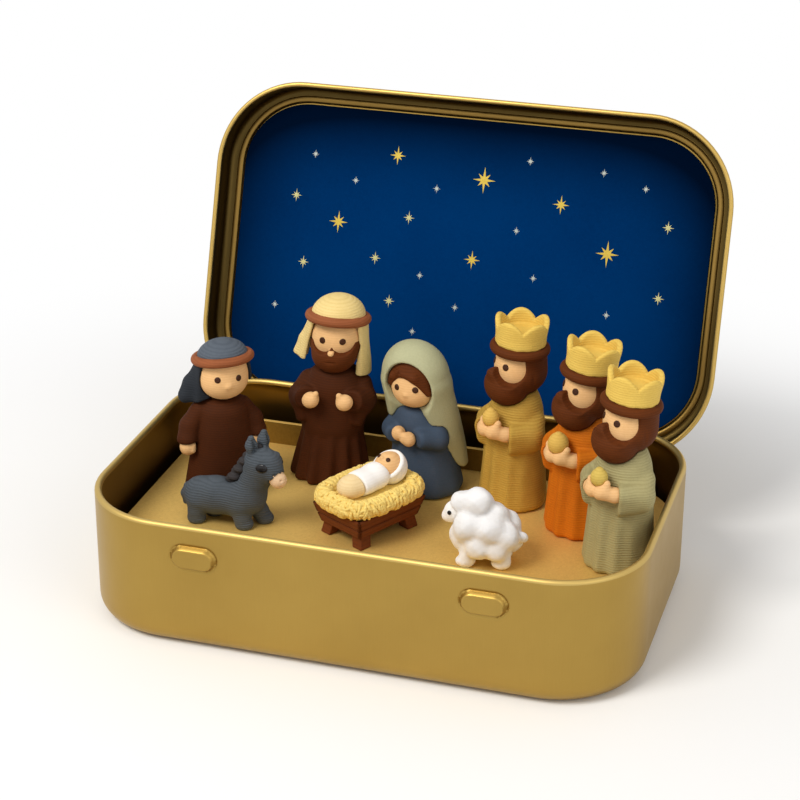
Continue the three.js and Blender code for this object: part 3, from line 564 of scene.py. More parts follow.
def piece(name, verts, faces, material, body, place=None, node=None, slot=None, smooth=True):
    """A mesh from points in millimetres, placed, finished and riding on its body."""
    verts = np.array(verts, float) * MM
    matrix, sway = place or (Matrix(), 0.0)
    verts[:, 0] += sway * verts[:, 2]
    mesh = bpy.data.meshes.new(name)
    mesh.from_pydata(verts.tolist(), [], [list(map(int, f)) for f in faces])
    mesh.validate()
    for one in material if isinstance(material, (list, tuple)) else [material]:
        mesh.materials.append(one)
    if smooth:
        mesh.shade_smooth()
    made = bpy.data.objects.new(name, mesh)
    bpy.context.scene.collection.objects.link(made)
    made.matrix_world = matrix
    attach(made, body)
    if node:
        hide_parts(*([node] if isinstance(node, str) else node))
    return made


def dressed(body, place, rows, start=None):
    """Skins fields as a figure's pieces: rows of node ending, field, finish, slot and, if finer, cell."""
    for ending, field, finish, slot, *cell in rows:
        node = (start or body) + "_" + ending
        piece(node + "_print", *skin(field, *(cell or [CELL])), finish, body, place, node, slot)


def eyes(figure, head, spots, radius, material, place, cell=0.12, soft=0.12):
    """Small domed eyes sunk in a head at the given points, as one piece."""
    dots = [within(soft, grown(head, 0.16), ball(spot, radius)) for spot in spots]
    piece(figure + "_eyes", *skin(blend(0.01, *dots), cell), material, figure, place)


def landed(field, start, end):
    """The first point inside a field on the way from start to end."""
    way = np.linspace(0, 1, 400)[:, None]
    points = np.array(start) * (1 - way) + np.array(end) * way
    return points[np.argmax(field(points) < 0)]


def face_spots(centre, radii, spread, lift=0.0):
    """Points for two eyes on a head that faces the front, level with its middle."""
    x = math.sin(math.radians(spread))
    y = -math.sqrt(1 - x * x)
    return [(centre[0] + side * x * radii[0], centre[1] + y * radii[1], centre[2] + lift) for side in SIDES]


# Shepherd

def shepherd():
    place, body = standing(SHEPHERD), "shepherd"
    hat, _ = leaning(-9, -2, 0, 24.6)
    skull = blend(1.2, ball((0, -0.2, 22.9), (4.15, 4.05, 4.45)), ball((0, -0.7, 21.4), (3.95, 3.75, 3.1)))
    head = blend(0.5, skull, ball((0, -4.3, 21.7), (0.6, 0.6, 0.5)))
    head = carve(0.25, head, rod((-0.6, -4.5, 20.2), (0.6, -4.5, 20.2), 0.14, 0.14))
    band = hat(ring(4.6, 0.84, 25.4, 0.95))
    cap = hat(within(0.4, ball((0, 0, 25.6), (4.4, 4.4, 3.05)), above(25.8)))
    out = lambda side, x: side * x - 0.4 * (side + 1)
    hand = lambda side: blend(0.4, ball((out(side, 6.5), -1.2, 9.9), (1.4, 1.45, 1.55)),
                              rod((out(side, 5.8), -2.1, 10.4), (out(side, 5.8), -2.3, 9.5), 0.5, 0.45))
    arm = lambda side: [(out(side, 4.1), 0, 15.9), (out(side, 5.9), -0.3, 13.4), (out(side, 6.4), -0.9, 11.3)]
    sleeves = [within(0.4, chain(arm(side), (1.75, 1.75, 1.9)), above(10.7)) for side in SIDES]
    rows = [(SOLE, 6.9, 5.8, 0), (1.5, 6.75, 5.6, 0), (8, 5.7, 4.9, 0), (13, 5.0, 4.4, 0),
            (16.4, 4.4, 3.9, 0), (18.1, 3.3, 2.9, 0)]
    robe = blend(0.3, skirt(rows, k=1.2), *sleeves)
    robe = carve(0.3, robe, *[grown(hand(side), 0.16) for side in SIDES])
    rows = [(15.6, 5.7, 4.7, 1.3), (18.5, 5.6, 4.8, 1.1), (22, 5.1, 4.9, 0.6), (24.9, 4.6, 4.7, 0.2)]
    flare = chain([(-3.6, 1.2, 23.2), (-5.1, 1.4, 20.6), (-6.1, 1.2, 18.6)], (1.2, 1.55, 1.5), 0.5)
    scarf = blend(0.9, skirt(rows, k=0.6), flare)
    scarf = within(0.4, scarf, half((0, -1, 0), 1.5), half((0.35, 0, -1), -18.4))
    scarf = carve(0.25, scarf, grown(head, 0.1), grown(robe, 0.05))
    dressed(body, place, [
        ("robe", robe, BROWN, "brown_cloth"),
        ("head", head, SKIN, "skin", 0.22),
        ("cap", cap, SLATE, "slate"),
        # The scarf's darker slate is painted shade
        ("scarf", scarf, SLATE_PAINTED_SHADE, "slate", 0.22),
        ("band", band, ROPE, "rope", 0.22),
        ("hand_left", hand(-1), SKIN, "skin", 0.18),
        ("hand_right", hand(1), SKIN, "skin", 0.18),
    ])
    eyes(body, head, face_spots((0, -0.2, 22.9), (4.15, 4.05), 25), 0.58, EYE, place)


# Father

def father():
    place, body = standing(FATHER), "father"
    skull = ball((0, -0.2, 26.6), (4.4, 4.2, 4.5))
    head = blend(0.35, skull, ball((0, -4.8, 25.0), (0.6, 0.75, 0.55)))
    hat, _ = leaning(-9, 3, 0, 30)
    band = hat(ring(4.9, 0.88, 30, 0.95))
    cap = hat(within(0.4, ball((0, 0, 30.3), (4.75, 4.75, 3.85)), above(30.4)))
    beard = blend(0.8, ball((0, -1.6, 23.9), (4.05, 3.75, 3.65)), ball((0, -0.9, 25.5), (4.5, 3.6, 2.5)))
    windows = [ball((side * 2.0, -5.4, 26.7), (2.15, 4.4, 2.1)) for side in SIDES]
    beard = carve(0.25, beard, *windows, rod((-2.6, -5, 28.6), (2.6, -5, 28.6), 2.3, 2.3))
    beard = carve(0.2, beard, rod((-0.8, -5.3, 23.3), (0.8, -5.3, 23.3), 0.18, 0.18))
    hand = lambda side: blend(0.5, ball((side * 3.0, -5.9, 16.4), (1.5, 1.45, 1.45)),
                              rod((side * 2.3, -6.1, 17.1), (side * 2.05, -6.3, 17.8), 0.65, 0.5))
    pleats = lambda p, angle: (0.42 * np.cos(13 * angle) * np.clip((9.4 - p[:, 2]) / 9.4, 0, 1) ** 0.6
                               * np.clip((9.4 - p[:, 2]) / 0.8, 0, 1))
    rows = [(SOLE, 6.9, 6.1, 0), (1.2, 6.75, 5.9, 0), (9.0, 5.35, 4.75, 0), (9.8, 5.75, 5.0, 0),
            (13.5, 5.7, 4.8, 0), (17.6, 5.4, 4.5, 0), (20.6, 3.9, 3.4, 0)]
    arm = [(4.6, 0.2, 17.5), (5.6, -1.4, 15.3), (4.2, -4.1, 16.1)]
    sleeves = []
    for side in SIDES:
        sleeve = chain(mirror(arm, side), (1.95, 2.15, 2.0))
        bell = rod((side * 5.3, -2.4, 14.2), (side * 5.0, -3.1, 12.0), 1.8, 1.1)
        sleeves.append(within(0.3, blend(0.8, sleeve, bell), half((side * -0.25, -1, 0.12), 5.4)))
    robe = blend(0.6, skirt(rows, pleats, 1.1), *sleeves)
    robe = carve(0.25, robe, *[grown(hand(side), 0.14) for side in SIDES])
    rows = [(18, 7.2, 4.8, 1.2), (21.5, 6.7, 4.9, 1.0), (25.5, 5.8, 5.05, 0.6), (29.8, 5.1, 5.0, 0.3)]
    inner = skirt([(z - 3 if z < 19 else z + 2, a - 0.8, b - 0.8, s) for z, a, b, s in rows], k=0.4)
    drape = carve(0.3, skirt(rows, k=0.6), inner)
    hung = lambda p: drape(p + np.outer(0.09 * np.clip(29 - p[:, 2], 0, 10), (1, 0, 0)))
    flap = chain([(-4.7, 0.6, 28.6), (-5.7, 0.6, 25.2), (-6.6, 0.5, 22.2)], (0.7, 1.15, 1.35))
    scarf = within(0.4, blend(0.6, hung, flap), half((0, -1, -0.04), 1.0), half((-0.24, 0, -1), -20.2))
    scarf = carve(0.25, scarf, grown(head, 0.08), grown(beard, 0.08), grown(robe, 0.05))
    dressed(body, place, [
        ("robe", robe, BROWN, "brown_cloth"),
        ("head", head, SKIN, "skin", 0.22),
        ("beard", beard, HAIR, "hair", 0.2),
        ("cap", cap, CREAM, "cream"),
        ("scarf", scarf, CREAM, "cream", 0.22),
        ("band", band, ROPE, "rope", 0.22),
        ("hand_left", hand(-1), SKIN, "skin", 0.18),
        ("hand_right", hand(1), SKIN, "skin", 0.18),
    ])
    eyes(body, head, face_spots((0, -0.2, 26.6), (4.4, 4.2), 24, 0.4), 0.58, EYE, place)


# Mother

def mother():
    place, body = standing(MOTHER), "mother"
    gaze, seen = leaning(0, 0, 7, 20)
    skull = blend(1.0, ball((0, -2, 20.4), (3.9, 3.8, 4.1)), ball((0, -2.5, 19.1), (3.5, 3.4, 2.9)))
    head = blend(0.4, skull, ball((0, -5.75, 19.4), (0.5, 0.5, 0.42)))
    head = gaze(carve(0.2, head, rod((-0.5, -5.95, 18.0), (0.5, -5.95, 18.0), 0.13, 0.13)))
    hair = carve(0.3, ball((0, -1.5, 21.1), (4.6, 4.2, 4.7)), ball((-0.2, -6.4, 18.7), (3.3, 4.5, 3.9)))
    locks = [chain([(-1.0, -5.3, 23.0), (1.4, -5.1, 22.3), (3.4, -3.9, 19.6)], (0.55, 0.75, 0.7)),
             chain([(-1.3, -5.2, 22.9), (-2.6, -4.6, 22.0), (-3.6, -3.8, 20.4)], (0.5, 0.6, 0.5))]
    parting = chain([(-1.1, -6.0, 22.6), (-0.9, -4.9, 24.4), (-0.5, -3.2, 25.6)], (0.25, 0.24, 0.24))
    hair = gaze(within(0.4, carve(0.2, blend(0.5, hair, *locks), parting), above(17.4)))
    palm = lambda side: ball((side * 0.95 - 0.1, -6.2, 11.7 - side * 0.35), (1.2, 1.3, 1.3))
    thumb = lambda side: rod((side * 0.5, -6.9, 12.4 - side * 0.3), (side * 0.1, -7.0, 11.8 - side * 0.3),
                             0.6, 0.55)
    hands = blend(0.12, *[blend(0.5, palm(side), thumb(side)) for side in SIDES])
    rows = [(SOLE, 6.4, 6.2, 0.2), (1.4, 6.5, 6.2, 0.2), (5, 5.95, 5.65, 0.1), (10, 5.05, 4.75, -0.3),
            (13.5, 4.4, 4.2, -0.9), (15.9, 3.1, 2.9, -1.4)]
    arm = [(3.4, -0.8, 13.2), (4.4, -2.4, 10.7), (2.8, -4.9, 11.3)]
    sleeves = [within(0.3, chain(mirror(arm, side), (1.75, 1.9, 1.65)), half((side * -0.55, -1, 0), 4.0))
               for side in SIDES]
    folds = lambda p, angle: 0.1 * np.cos(9 * angle + 1) * np.clip((8 - p[:, 2]) / 8, 0, 1)
    cloth = blend(0.9, skirt(rows, folds, 1.2), *sleeves)
    gown = carve(0.2, cloth, grown(hands, 0.1))
    rows = [(3.6, 6.8, 4.3, 3.0), (8, 6.8, 4.9, 2.2), (13, 6.6, 5.4, 1.0), (17, 6.35, 5.5, 0),
            (20.5, 5.95, 5.4, -0.6)]
    hood = blend(1.4, ball((0, -0.8, 21.1), (6.0, 5.6, 6.15)), skirt(rows, k=1.0))
    hood = within(0.8, hood, half((-0.485, -0.727, -1), -6.3))
    opening = gaze(ball((0, -6.5, 19.8), (4.7, 4.9, 5.3)))
    front = chain([(0, -9.2, 16), (-0.2, -7.5, 8), (0, -5.2, 1)], (5.6, 7.4, 7.7), 0.8)
    veil = carve(0.45, hood, blend(0.8, opening, front))
    veil = carve(0.2, veil, grown(hair, 0.08), grown(head, 0.08), grown(cloth, 0.04))
    dressed(body, place, [
        ("gown", gown, GOWN, "blue_gown"),
        ("head", head, SKIN, "skin", 0.22),
        ("hair", hair, HAIR, "hair", 0.2),
        ("veil", veil, SAGE, "sage", 0.24),
        ("hands", hands, SKIN, "skin", 0.16),
    ])
    eyes(body, head, seen(face_spots((0, -2, 20.4), (3.9, 3.8), 25)), 0.56, EYE, place)


# Kings

def king(name, cloth, slot, gift_finish):
    at, turn, lean, egg = KINGS[name]
    place = standing((at, turn, 0.0))
    posed, seen = leaning(*lean, -17, 21)
    head = posed(ball((0, -0.2, 25.2), (3.95, 3.95, 4.45)))
    band = posed(ring(4.25, 0.9, 28.55, 0.95))
    moustache = [rod((side * 0.5, -4.75, 24.4), (side * 3.1, -3.2, 23.0), 0.95, 0.8) for side in SIDES]
    beard = blend(0.7, ball((0, -2, 22.0), (4.05, 3.8, 3.65)), ball((0, 0.6, 24.1), (4.6, 4.1, 3.3)),
                  ball((0, -4.35, 24.0), (1.2, 1.0, 1.3)), *moustache)
    beard = blend(0.4, beard, rod((0, 0.7, 24.5), (0, 0.6, 28.0), 4.45, 4.15))
    windows = [rod((side * 3.5, -4.1, 26.0), (side * 3.5, -4.1, 30), 3.2, 3.2) for side in SIDES]
    creases = [rod((side * 4.9, 0.2, 26), (side * 4.75, 0.8, 19.8), 0.4, 0.3) for side in SIDES]
    beard = carve(0.25, beard, *windows, ball((0, -6.2, 28.2), (2.6, 4.2, 2.3)), *creases)
    beard = posed(within(0.3, beard, half((0, 0, 1), 28.4)))
    gift = blend(0.1, ball((0, -6.3, 17.4), (egg, egg, egg * 1.1)),
                 ball((0, -6.3, 18.2), (egg * 0.6, egg * 0.6, egg * 0.75)))
    reach = [(3.8, -3.2, 14.4), (2.4, -5.2, 14.6), (0.8, -6.8, 15.2)]
    palm = lambda side: chain(mirror(reach, side), (1.1, 1.15, 1.3))
    thumb = lambda side: rod((side * 1.2, -6.6, 15.4), (side * (egg + 0.1), -6.3, 16.7), 1.0, 0.65)
    hands = blend(0.25, *[blend(0.5, palm(side), thumb(side)) for side in SIDES])
    hands = carve(0.12, hands, grown(gift, 0.05))

    def folds(p, angle):
        front = angle + 1.57
        pleats = 0.26 * np.cos(12 * front) * np.exp(-((front / 0.75) ** 2))
        pleats = pleats * np.clip((13 - p[:, 2]) / 5, 0, 1)
        return pleats + 0.06 * np.cos(7 * angle) * np.clip((6 - p[:, 2]) / 6, 0, 1)
    rows = [(SOLE, 6.1, 5.9, -0.2), (1.2, 6.0, 5.7, -0.2), (8, 5.6, 5.1, -0.1), (13, 5.4, 4.8, 0),
            (16, 5.1, 4.4, 0.1), (18.2, 4.7, 4.0, 0.3), (20, 3.9, 3.3, 0.5), (21.3, 3.0, 2.6, 0.6)]
    arm = [(3.9, 0.4, 15.9), (4.9, -1.3, 14.1), (2.1, -5.4, 14.5)]
    hem = [(4.9, -1.0, 12.7), (2.4, -5.1, 12.2)]
    sleeves = []
    for side in SIDES:
        upper = chain(mirror(arm, side), (1.9, 2.05, 1.95))
        lower = chain(mirror(hem, side), (1.7, 1.45))
        sleeve = within(0.55, blend(1.2, upper, lower), half((side * -0.72, -0.69, 0), 1.3))
        sleeves.append(carve(0.15, sleeve, rod((side * 3.7, -3.1, 14.4), (side * 0.6, -7.4, 14.6), 1.2, 1.2)))
    robe = blend(0.45, carve(0.2, skirt(rows, folds, 1.2), grown(hands, 0.1)), *sleeves)
    robe = carve(0.2, robe, grown(beard, 0.06))
    robe = carve(0.1, robe, grown(hands, 0.04))

    def crown(p):
        angle = np.arctan2(p[:, 1], p[:, 0]) + 1.13
        out = np.hypot(p[:, 0], p[:, 1])
        wall = np.abs(out - np.interp(p[:, 2], (29.2, 31, 34.5), (3.85, 3.85, 4.25))) - 0.5
        floor = np.maximum(np.abs(p[:, 2] - 30.4) - 1.0, out - 4.0)
        top = p[:, 2] - (32.5 + 1.6 * np.abs(np.cos(2.5 * angle)) ** 0.8)
        low = 29.25 + 0.08 * np.sin(11 * angle) * np.sin(3 * angle) - p[:, 2]
        return -soft_min(-soft_min(wall, floor, 0.4), -np.maximum(top, low), 0.6)
    dressed(name, place, [
        ("robe", robe, cloth, slot, 0.22),
        ("head", head, SKIN, "skin", 0.22),
        ("beard", beard, HAIR, "hair", 0.2),
        ("band", band, HAIR, "hair", 0.22),
        ("crown", posed(crown), CROWN, "crown_gold", 0.18),
        ("gift", gift, gift_finish, "gift_gold", 0.16),
        ("hands", hands, SKIN, "skin", 0.17),
    ])
    eyes(name, head, seen(face_spots((0, -0.2, 25.2), (3.95, 3.95), 27, 0.8)), 0.58, EYE, place)


# Manger with the infant

def crate():
    """A tapered plank crate on four stubby legs, as points and faces."""
    verts, faces = [], []

    def block(low, high):
        first = len(verts)
        verts.extend(list(low) + list(high))
        faces.extend(tuple(first + i for i in quad) for quad in BOX)

    def level(cx, cy, hx, hy, z):
        return [(cx - hx, cy - hy, z), (cx + hx, cy - hy, z), (cx + hx, cy + hy, z), (cx - hx, cy + hy, z)]

    def plank(x, y, z, side):
        inner = side * (y - PLANK)
        return [(-x, side * y, z), (x, side * y, z), (x, inner, z), (-x, inner, z)][::side]

    def end_plank(x, y, z, side):
        return [(b, a, c) for a, b, c in plank(y, x, z, side)]
    for sx in SIDES:
        for sy in SIDES:
            block(level(sx * 5.5, sy * 3.9, 1.2, 1.1, SOLE), level(sx * 5.0, sy * 3.3, 1.2, 1.1, 2.6))
    rows = [(6.7, 4.8, 1.8), (7.25, 5.3, 3.6), (7.8, 5.8, CRATE_RIM)]
    for low, (x, y, z) in zip(rows, rows[1:]):
        high = (x, y, z - PLANK_SEAM if z < CRATE_RIM else z)
        for side in SIDES:
            block(plank(*low, side), plank(*high, side))
            block(end_plank(*low, side), end_plank(*high, side))
    block(level(0, 0, 6.4, 4.5, 1.85), level(0, 0, 6.6, 4.7, 3.0))
    return np.array(verts), faces


def strands(count, fringe):
    """Short stubby straws lying on the bed's roll, and a fringe of them over the crate's rim."""
    verts, faces = [], []
    up = np.array((0, 0, 1.0))
    for i in range(count + fringe):
        hangs = i >= count
        if hangs:
            angle = math.tau * (i - count + shade.uniform(0, 0.6)) / fringe
        else:
            angle = shade.uniform(0, math.tau)
        c, s = math.cos(angle), math.sin(angle)
        square = (abs(c) ** 4 + abs(s) ** 4) ** -0.25
        across = np.array((c**3 / STRAW_RING[0], s**3 / STRAW_RING[1], 0))
        across = across / np.linalg.norm(across)
        round_tube = math.radians(shade.uniform(-40, 5) if hangs else shade.uniform(-10, 175))
        out = across * math.cos(round_tube) + up * math.sin(round_tube)
        along = np.cross(up, across)
        down = np.cross(along, out)
        middle = np.array((STRAW_RING[0] * c * square, STRAW_RING[1] * s * square, STRAW_Z))
        middle = middle + out * (STRAW_TUBE + 0.05)
        way = shade.normal(0, 0.35 if hangs else 0.9)
        run = (-down if down[2] > 0 else down) * math.cos(way) + along * math.sin(way)
        half_long = shade.uniform(0.8, 1.1) if hangs else shade.uniform(0.8, 1.25)
        radius = shade.uniform(0.32, 0.42) if hangs else shade.uniform(0.26, 0.4)
        side = np.cross(out, run)
        first = len(verts)
        for k, share in enumerate(STRAND_SIZES):
            t = k / 2 - 1
            spot = middle + run * half_long * t - out * 0.28 * t * t
            for turn in np.arange(STRAND_SIDES) * math.tau / STRAND_SIDES:
                verts.append(spot + (side * math.cos(turn) + out * math.sin(turn)) * (radius * share))
        last = len(verts)
        for start in range(first, last - STRAND_SIDES, STRAND_SIDES):
            for j in range(STRAND_SIDES):
                a, b = start + j, start + (j + 1) % STRAND_SIDES
                faces.append((a, a + STRAND_SIDES, b + STRAND_SIDES, b))
        faces.append(tuple(range(first, first + STRAND_SIDES)))
        faces.append(tuple(range(last - 1, last - STRAND_SIDES - 1, -1)))
    return np.array(verts), faces


def manger():
    place, body = standing(MANGER), "manger"
    made = piece("manger_crate_planks", *crate(), WOOD, body, place, "manger_crate", "wood_brown",
                 smooth=False)
    bevel = made.modifiers.new("soft_edges", "BEVEL")
    bevel.width, bevel.segments, bevel.limit_method = 0.22 * MM, 3, "ANGLE"
    for face in made.data.polygons:
        face.use_smooth = True
    made.modifiers.new("weighted", "WEIGHTED_NORMAL")
    child = ball((-1.6, 0, 9.1), (4.95, 2.75, 2.1))
    centre, brow = np.array((4.5, 0, 9.9)), np.array((-0.6, 0, 0.8))
    skull = ball(centre, (2.6, 2.5, 2.6))
    head = blend(0.2, skull, ball(centre + brow * 2.6, (0.34, 0.34, 0.34)))

    def rim(p):
        q = p - centre
        rise = q @ brow
        flat = q - rise[:, None] * brow
        return np.hypot(size_of(flat) - 2.6, rise - 0.45) - 0.42
    shell = within(0.2, ball((4.75, 0, 9.8), (3.05, 3.0, 3.05)), lambda p: (p - centre) @ brow - 0.5)
    bonnet = carve(0.15, blend(0.3, shell, rim), grown(skull, 0.04))
    chest = blend(0.7, child, ball((1.4, 0, 9.3), (2.5, 2.6, 2.25)))
    swaddle = within(0.35, chest, half((-1, 0, 0), 3.1))
    swaddle = carve(0.25, swaddle, grown(head, 0.06), grown(bonnet, 0.06))
    wrap = within(0.35, blend(0.5, child, ball((-4.5, 0, 9.1), (2.1, 2.2, 1.9))), half((1, 0, 0), -3.25))

    def bed(p):
        u, v = np.abs(p[:, 0] / STRAW_RING[0]), np.abs(p[:, 1] / STRAW_RING[1])
        edge = (u**4 + v**4) ** 0.25
        slope = np.hypot(u**3 / STRAW_RING[0], v**3 / STRAW_RING[1]) / np.maximum(edge, 0.01) ** 3
        out = (edge - 1) / np.maximum(slope, 0.05)
        roll = np.hypot(out, p[:, 2] - STRAW_Z) - STRAW_TUBE
        mat = np.maximum(out + 0.4, 0) + np.maximum(np.abs(p[:, 2] - 6.0) - 1.0, 0) - 0.3
        return soft_min(roll, mat, 0.8)
    bed = carve(0.3, bed, grown(child, 0.02), grown(head, 0.02), grown(bonnet, 0.02))
    verts, faces = skin(bed, 0.28)
    faces = [tuple(f) for f in faces]
    loose, tufts = strands(STRAWS, FRINGE)
    points, sheets = len(loose) // (STRAWS + FRINGE), len(tufts) // (STRAWS + FRINGE)
    clear = np.minimum(child(loose), bonnet(loose)).reshape(-1, points).min(1) > 0.1
    for i in np.flatnonzero(clear):
        shift = len(verts) - points * i
        faces += [tuple(v + shift for v in f) for f in tufts[sheets * i:sheets * (i + 1)]]
        verts = np.vstack([verts, loose[points * i:points * (i + 1)]])
    piece("manger_straw_mat", verts, faces, STRAW, body, place, "manger_straw", "straw")
    dressed(body, place, [
        ("swaddle", swaddle, WHITE, "white", 0.18),
        ("foot_wrap", wrap, FOOT_WRAP, "cream", 0.18),
        ("head", head, SKIN, "skin", 0.17),
        ("bonnet", bonnet, WHITE, "white", 0.17),
    ], "infant")
    crown_way = np.array((0.8, 0, 0.6))
    look = lambda side: brow * 0.9 + np.array((0, side * 0.42, 0)) + crown_way * 0.1
    eyes(body, head, [centre + 2.55 * look(side) for side in SIDES], 0.4, EYE, place, 0.1)


# Animals

def donkey():
    place, body = standing(DONKEY), "donkey"
    look = np.array(Matrix.Rotation(math.radians(-22), 3, "Z"))
    turned = lambda points: [tuple(look @ (np.array(p) - (5, 0, 0)) + (5, 0, 0)) for p in points]
    leg = lambda x, y, step: chain([(x, y * 0.9, 3.6), (x + step * 0.6, y, 1.8), (x + step, y, 0.6)],
                                   (1.95, 1.45, 1.35))
    hoof = lambda x, y: ball((x + 0.15, y, 0.5), (1.6, 1.45, 1.2))
    ears = []
    for side in SIDES:
        ear = chain(turned([(4.5, side * 1.3, 13.0), (4.3, side * 1.5, 15.2), (4.4, side * 1.6, 16.5)]),
                    (0.85, 0.95, 0.58))
        hollow = chain(turned([(5.15, side * 1.6, 14.2), (5.0, side * 1.75, 16.5)]), (0.42, 0.22))
        ears.append(carve(0.15, ear, hollow))
    barrel = chain([(-6, 0, 4.3), (-3.2, 0, 4.4), (0.6, 0, 4.4), (2.6, 0, 5)], (3.0, 3.05, 2.95, 2.95), 1.2)
    neck = chain([(2.6, 0, 5.4), (4.2, 0, 9), (5.1, 0, 11.5)], (2.8, 2.4, 2.25), 1.0)
    face = chain(turned([(4.7, 0, 12.0), (6.6, 0, 11.5), (8.1, 0, 10.3)]), (2.55, 2.35, 1.65), 1.0)
    tail = chain([(-8.5, 0, 5.4), (-8.95, 0, 3.9), (-8.85, 0, 2.3)], (0.6, 0.65, 0.5))
    legs = [leg(-5.9, -1.7, -0.5), leg(-4.9, 1.7, 0.4), leg(1.7, -1.6, 0.5), leg(2.8, 1.6, 1.9)]
    hooves = [hoof(-6.4, -1.7), hoof(-4.5, 1.7), hoof(2.2, -1.6), hoof(4.7, 1.6)]
    brows = [ball(turned([(6.8, side * 1.55, 13.3)])[0], (0.9, 0.6, 0.35)) for side in SIDES]
    trunk = blend(0.7, blend(1.4, barrel, neck, face), *legs)
    beast = within(0.15, blend(0.35, trunk, tail, *hooves, *ears, *brows), above(SOLE))
    muzzle = chain(turned([(8.2, 0, 10.2), (8.9, 0, 9.6)]), (1.5, 1.42))
    nostrils = [ball(turned([(10.1, side * 0.6, 10.05)])[0], 0.24) for side in SIDES]
    mouth = rod(*turned([(9.8, -0.9, 8.8), (9.8, 0.9, 8.8)]), 0.15, 0.15)
    lumps = [ball((-0.2 + 0.53 * i, 0.3 * (-1) ** i, 7.8 + 0.8 * i), (1.3, 1.1, 0.7)) for i in range(7)]
    mane = blend(0.15, *lumps, ball(turned([(4.3, 0, 14.3)])[0], (1.0, 0.75, 0.7)))
    beast = carve(0.15, beast, grown(muzzle, 0.04), grown(mane, 0.03))
    dressed(body, place, [
        ("body", beast, DONKEY_COAT, "donkey_grey", 0.24),
        ("muzzle", carve(0.15, muzzle, *nostrils, mouth), MUZZLE, "muzzle", 0.16),
        ("mane", carve(0.1, mane, grown(trunk, -0.4)), MANE, "dark_grey", 0.18),
    ])
    spots = [landed(beast, *turned([(7.5, side * 4, 12.5), (6.9, 0, 11.6)])) for side in SIDES]
    eyes(body, beast, spots, (1.05, 1.0, 0.74), EYE_BLACK, place, 0.12, 0.1)


def sheep():
    place, body = standing(SHEEP), "sheep"
    face = blend(0.5, ball((-5.2, 0, 8.6), (1.65, 1.55, 1.85)), ball((-6.15, 0, 7.8), (1.05, 1.1, 1.05)))
    tufts = [
        (-3.8, 0.2, 10.1, 2.1), (-1.2, -0.2, 10.5, 2.6), (-2.7, 1.6, 7.3, 2.6), (-2.6, -1.8, 7.0, 2.5),
        (1.0, 2.0, 7.0, 2.6), (0.8, -2.2, 6.7, 2.5), (3.3, 1.5, 5.9, 2.5), (3.4, -1.7, 5.4, 2.4),
        (1.7, 0, 8.2, 2.2), (-2.9, 0, 4.6, 3.0), (-0.8, -2.5, 3.8, 2.2), (-1.2, 2.5, 4.0, 2.1),
        (2.2, -2.6, 3.3, 1.9), (1.8, 2.6, 3.7, 2.1), (4.1, 1.2, 3.5, 2.1),
    ]
    wool = blend(0.95, *[ball(spot, radius) for *spot, radius in tufts])
    curl = lambda p: (0.15 * np.sin(1.5 * p[:, 0] + 1) * np.sin(1.7 * p[:, 1] + 0.6) * np.sin(1.4 * p[:, 2])
                      + 0.03 * np.sin(4.3 * p[:, 0]) * np.sin(4.7 * p[:, 1] + 1) * np.sin(4.1 * p[:, 2]))
    tail = ball((6.0, 0, 4.7), (1.15, 0.95, 1.0))
    stands = [(x, y) for x in (-2.7, 3.2) for y in (-1.9, 1.9)]
    feet = [chain([(x, y, 3), (x, y, 1.0)], (1.3, 1.4)) for x, y in stands]
    toes = [ball((x - 0.5, y, 0.7), (1.45, 1.25, 1.0)) for x, y in stands]
    coat = blend(0.4, wool, tail, *feet, *toes)
    fleece = within(0.2, lambda p: coat(p) - curl(p), above(SOLE))
    dressed(body, place, [
        ("fleece", carve(0.25, fleece, grown(face, 0.06)), FLEECE, "white", 0.24),
        ("face", face, WHITE, "white", 0.16),
    ])
    eyes(body, face, [(-5.8, side * 1.4, 9.0) for side in SIDES], 0.38, EYE_BLACK, place, 0.09)


# Tin

def plan(offset, detail):
    """The rounded plan outline moved out by an offset; detail adds points along the front and back."""
    cx, cy = BASE_WIDTH / 2 - PLAN_RADIUS, BASE_DEPTH / 2 - PLAN_RADIUS
    radius = PLAN_RADIUS + offset
    points = []
    for corner in range(4):
        sx, sy = (cx if corner in (0, 3) else -cx), (cy if corner < 2 else -cy)
        for angle in np.linspace(corner, corner + 1, 19) * math.pi / 2:
            points.append((sx + radius * math.cos(angle), sy + radius * math.sin(angle)))
        if corner in (0, 2):
            side = 1 if corner == 0 else -1
            points += [(side * -x, side * (cy + radius)) for x in detail]
    return np.array(points)


def drawn(section, detail):
    """Points and faces of a pan whose section is a list of offset and height pairs; also the ring length."""
    rings = []
    for offset, z in section:
        outline = plan(offset, detail)
        rings.append(np.column_stack([outline, np.full(len(outline), z)]))
    count = len(rings[0])
    faces = {}
    for i in range(len(rings) - 1):
        for j in range(count):
            k = (j + 1) % count
            faces[(i, j)] = (i * count + j, i * count + k, (i + 1) * count + k, (i + 1) * count + j)
    return np.vstack(rings), faces, count


def arc(offset, z, radius, start, end, steps):
    """An arc of a section, with its angles in degrees."""
    return [(offset + radius * math.cos(math.radians(a)), z + radius * math.sin(math.radians(a)))
            for a in np.linspace(start, end, steps)]


def capped(verts, faces, count):
    """Closes the first and last rings of a pan."""
    last = len(verts) - count
    return list(faces.values()) + [tuple(range(count - 1, -1, -1)), tuple(range(last, last + count))]


def pressed(x, z):
    """How far a snap stands out of the front wall at a point."""
    rise = np.zeros_like(x)
    for snap in SNAP_X:
        d = np.hypot(np.maximum(np.abs(x - snap) - (SNAP_LONG - SNAP_HIGH), 0), z - SNAP_Z) - SNAP_HIGH
        t = np.clip((0.1 - d) / 0.5, 0, 1)
        rise += SNAP_RISE * t * t * (3 - 2 * t) - SNAP_CREASE * np.exp(-(((d - 0.22) / 0.16) ** 2))
    return rise


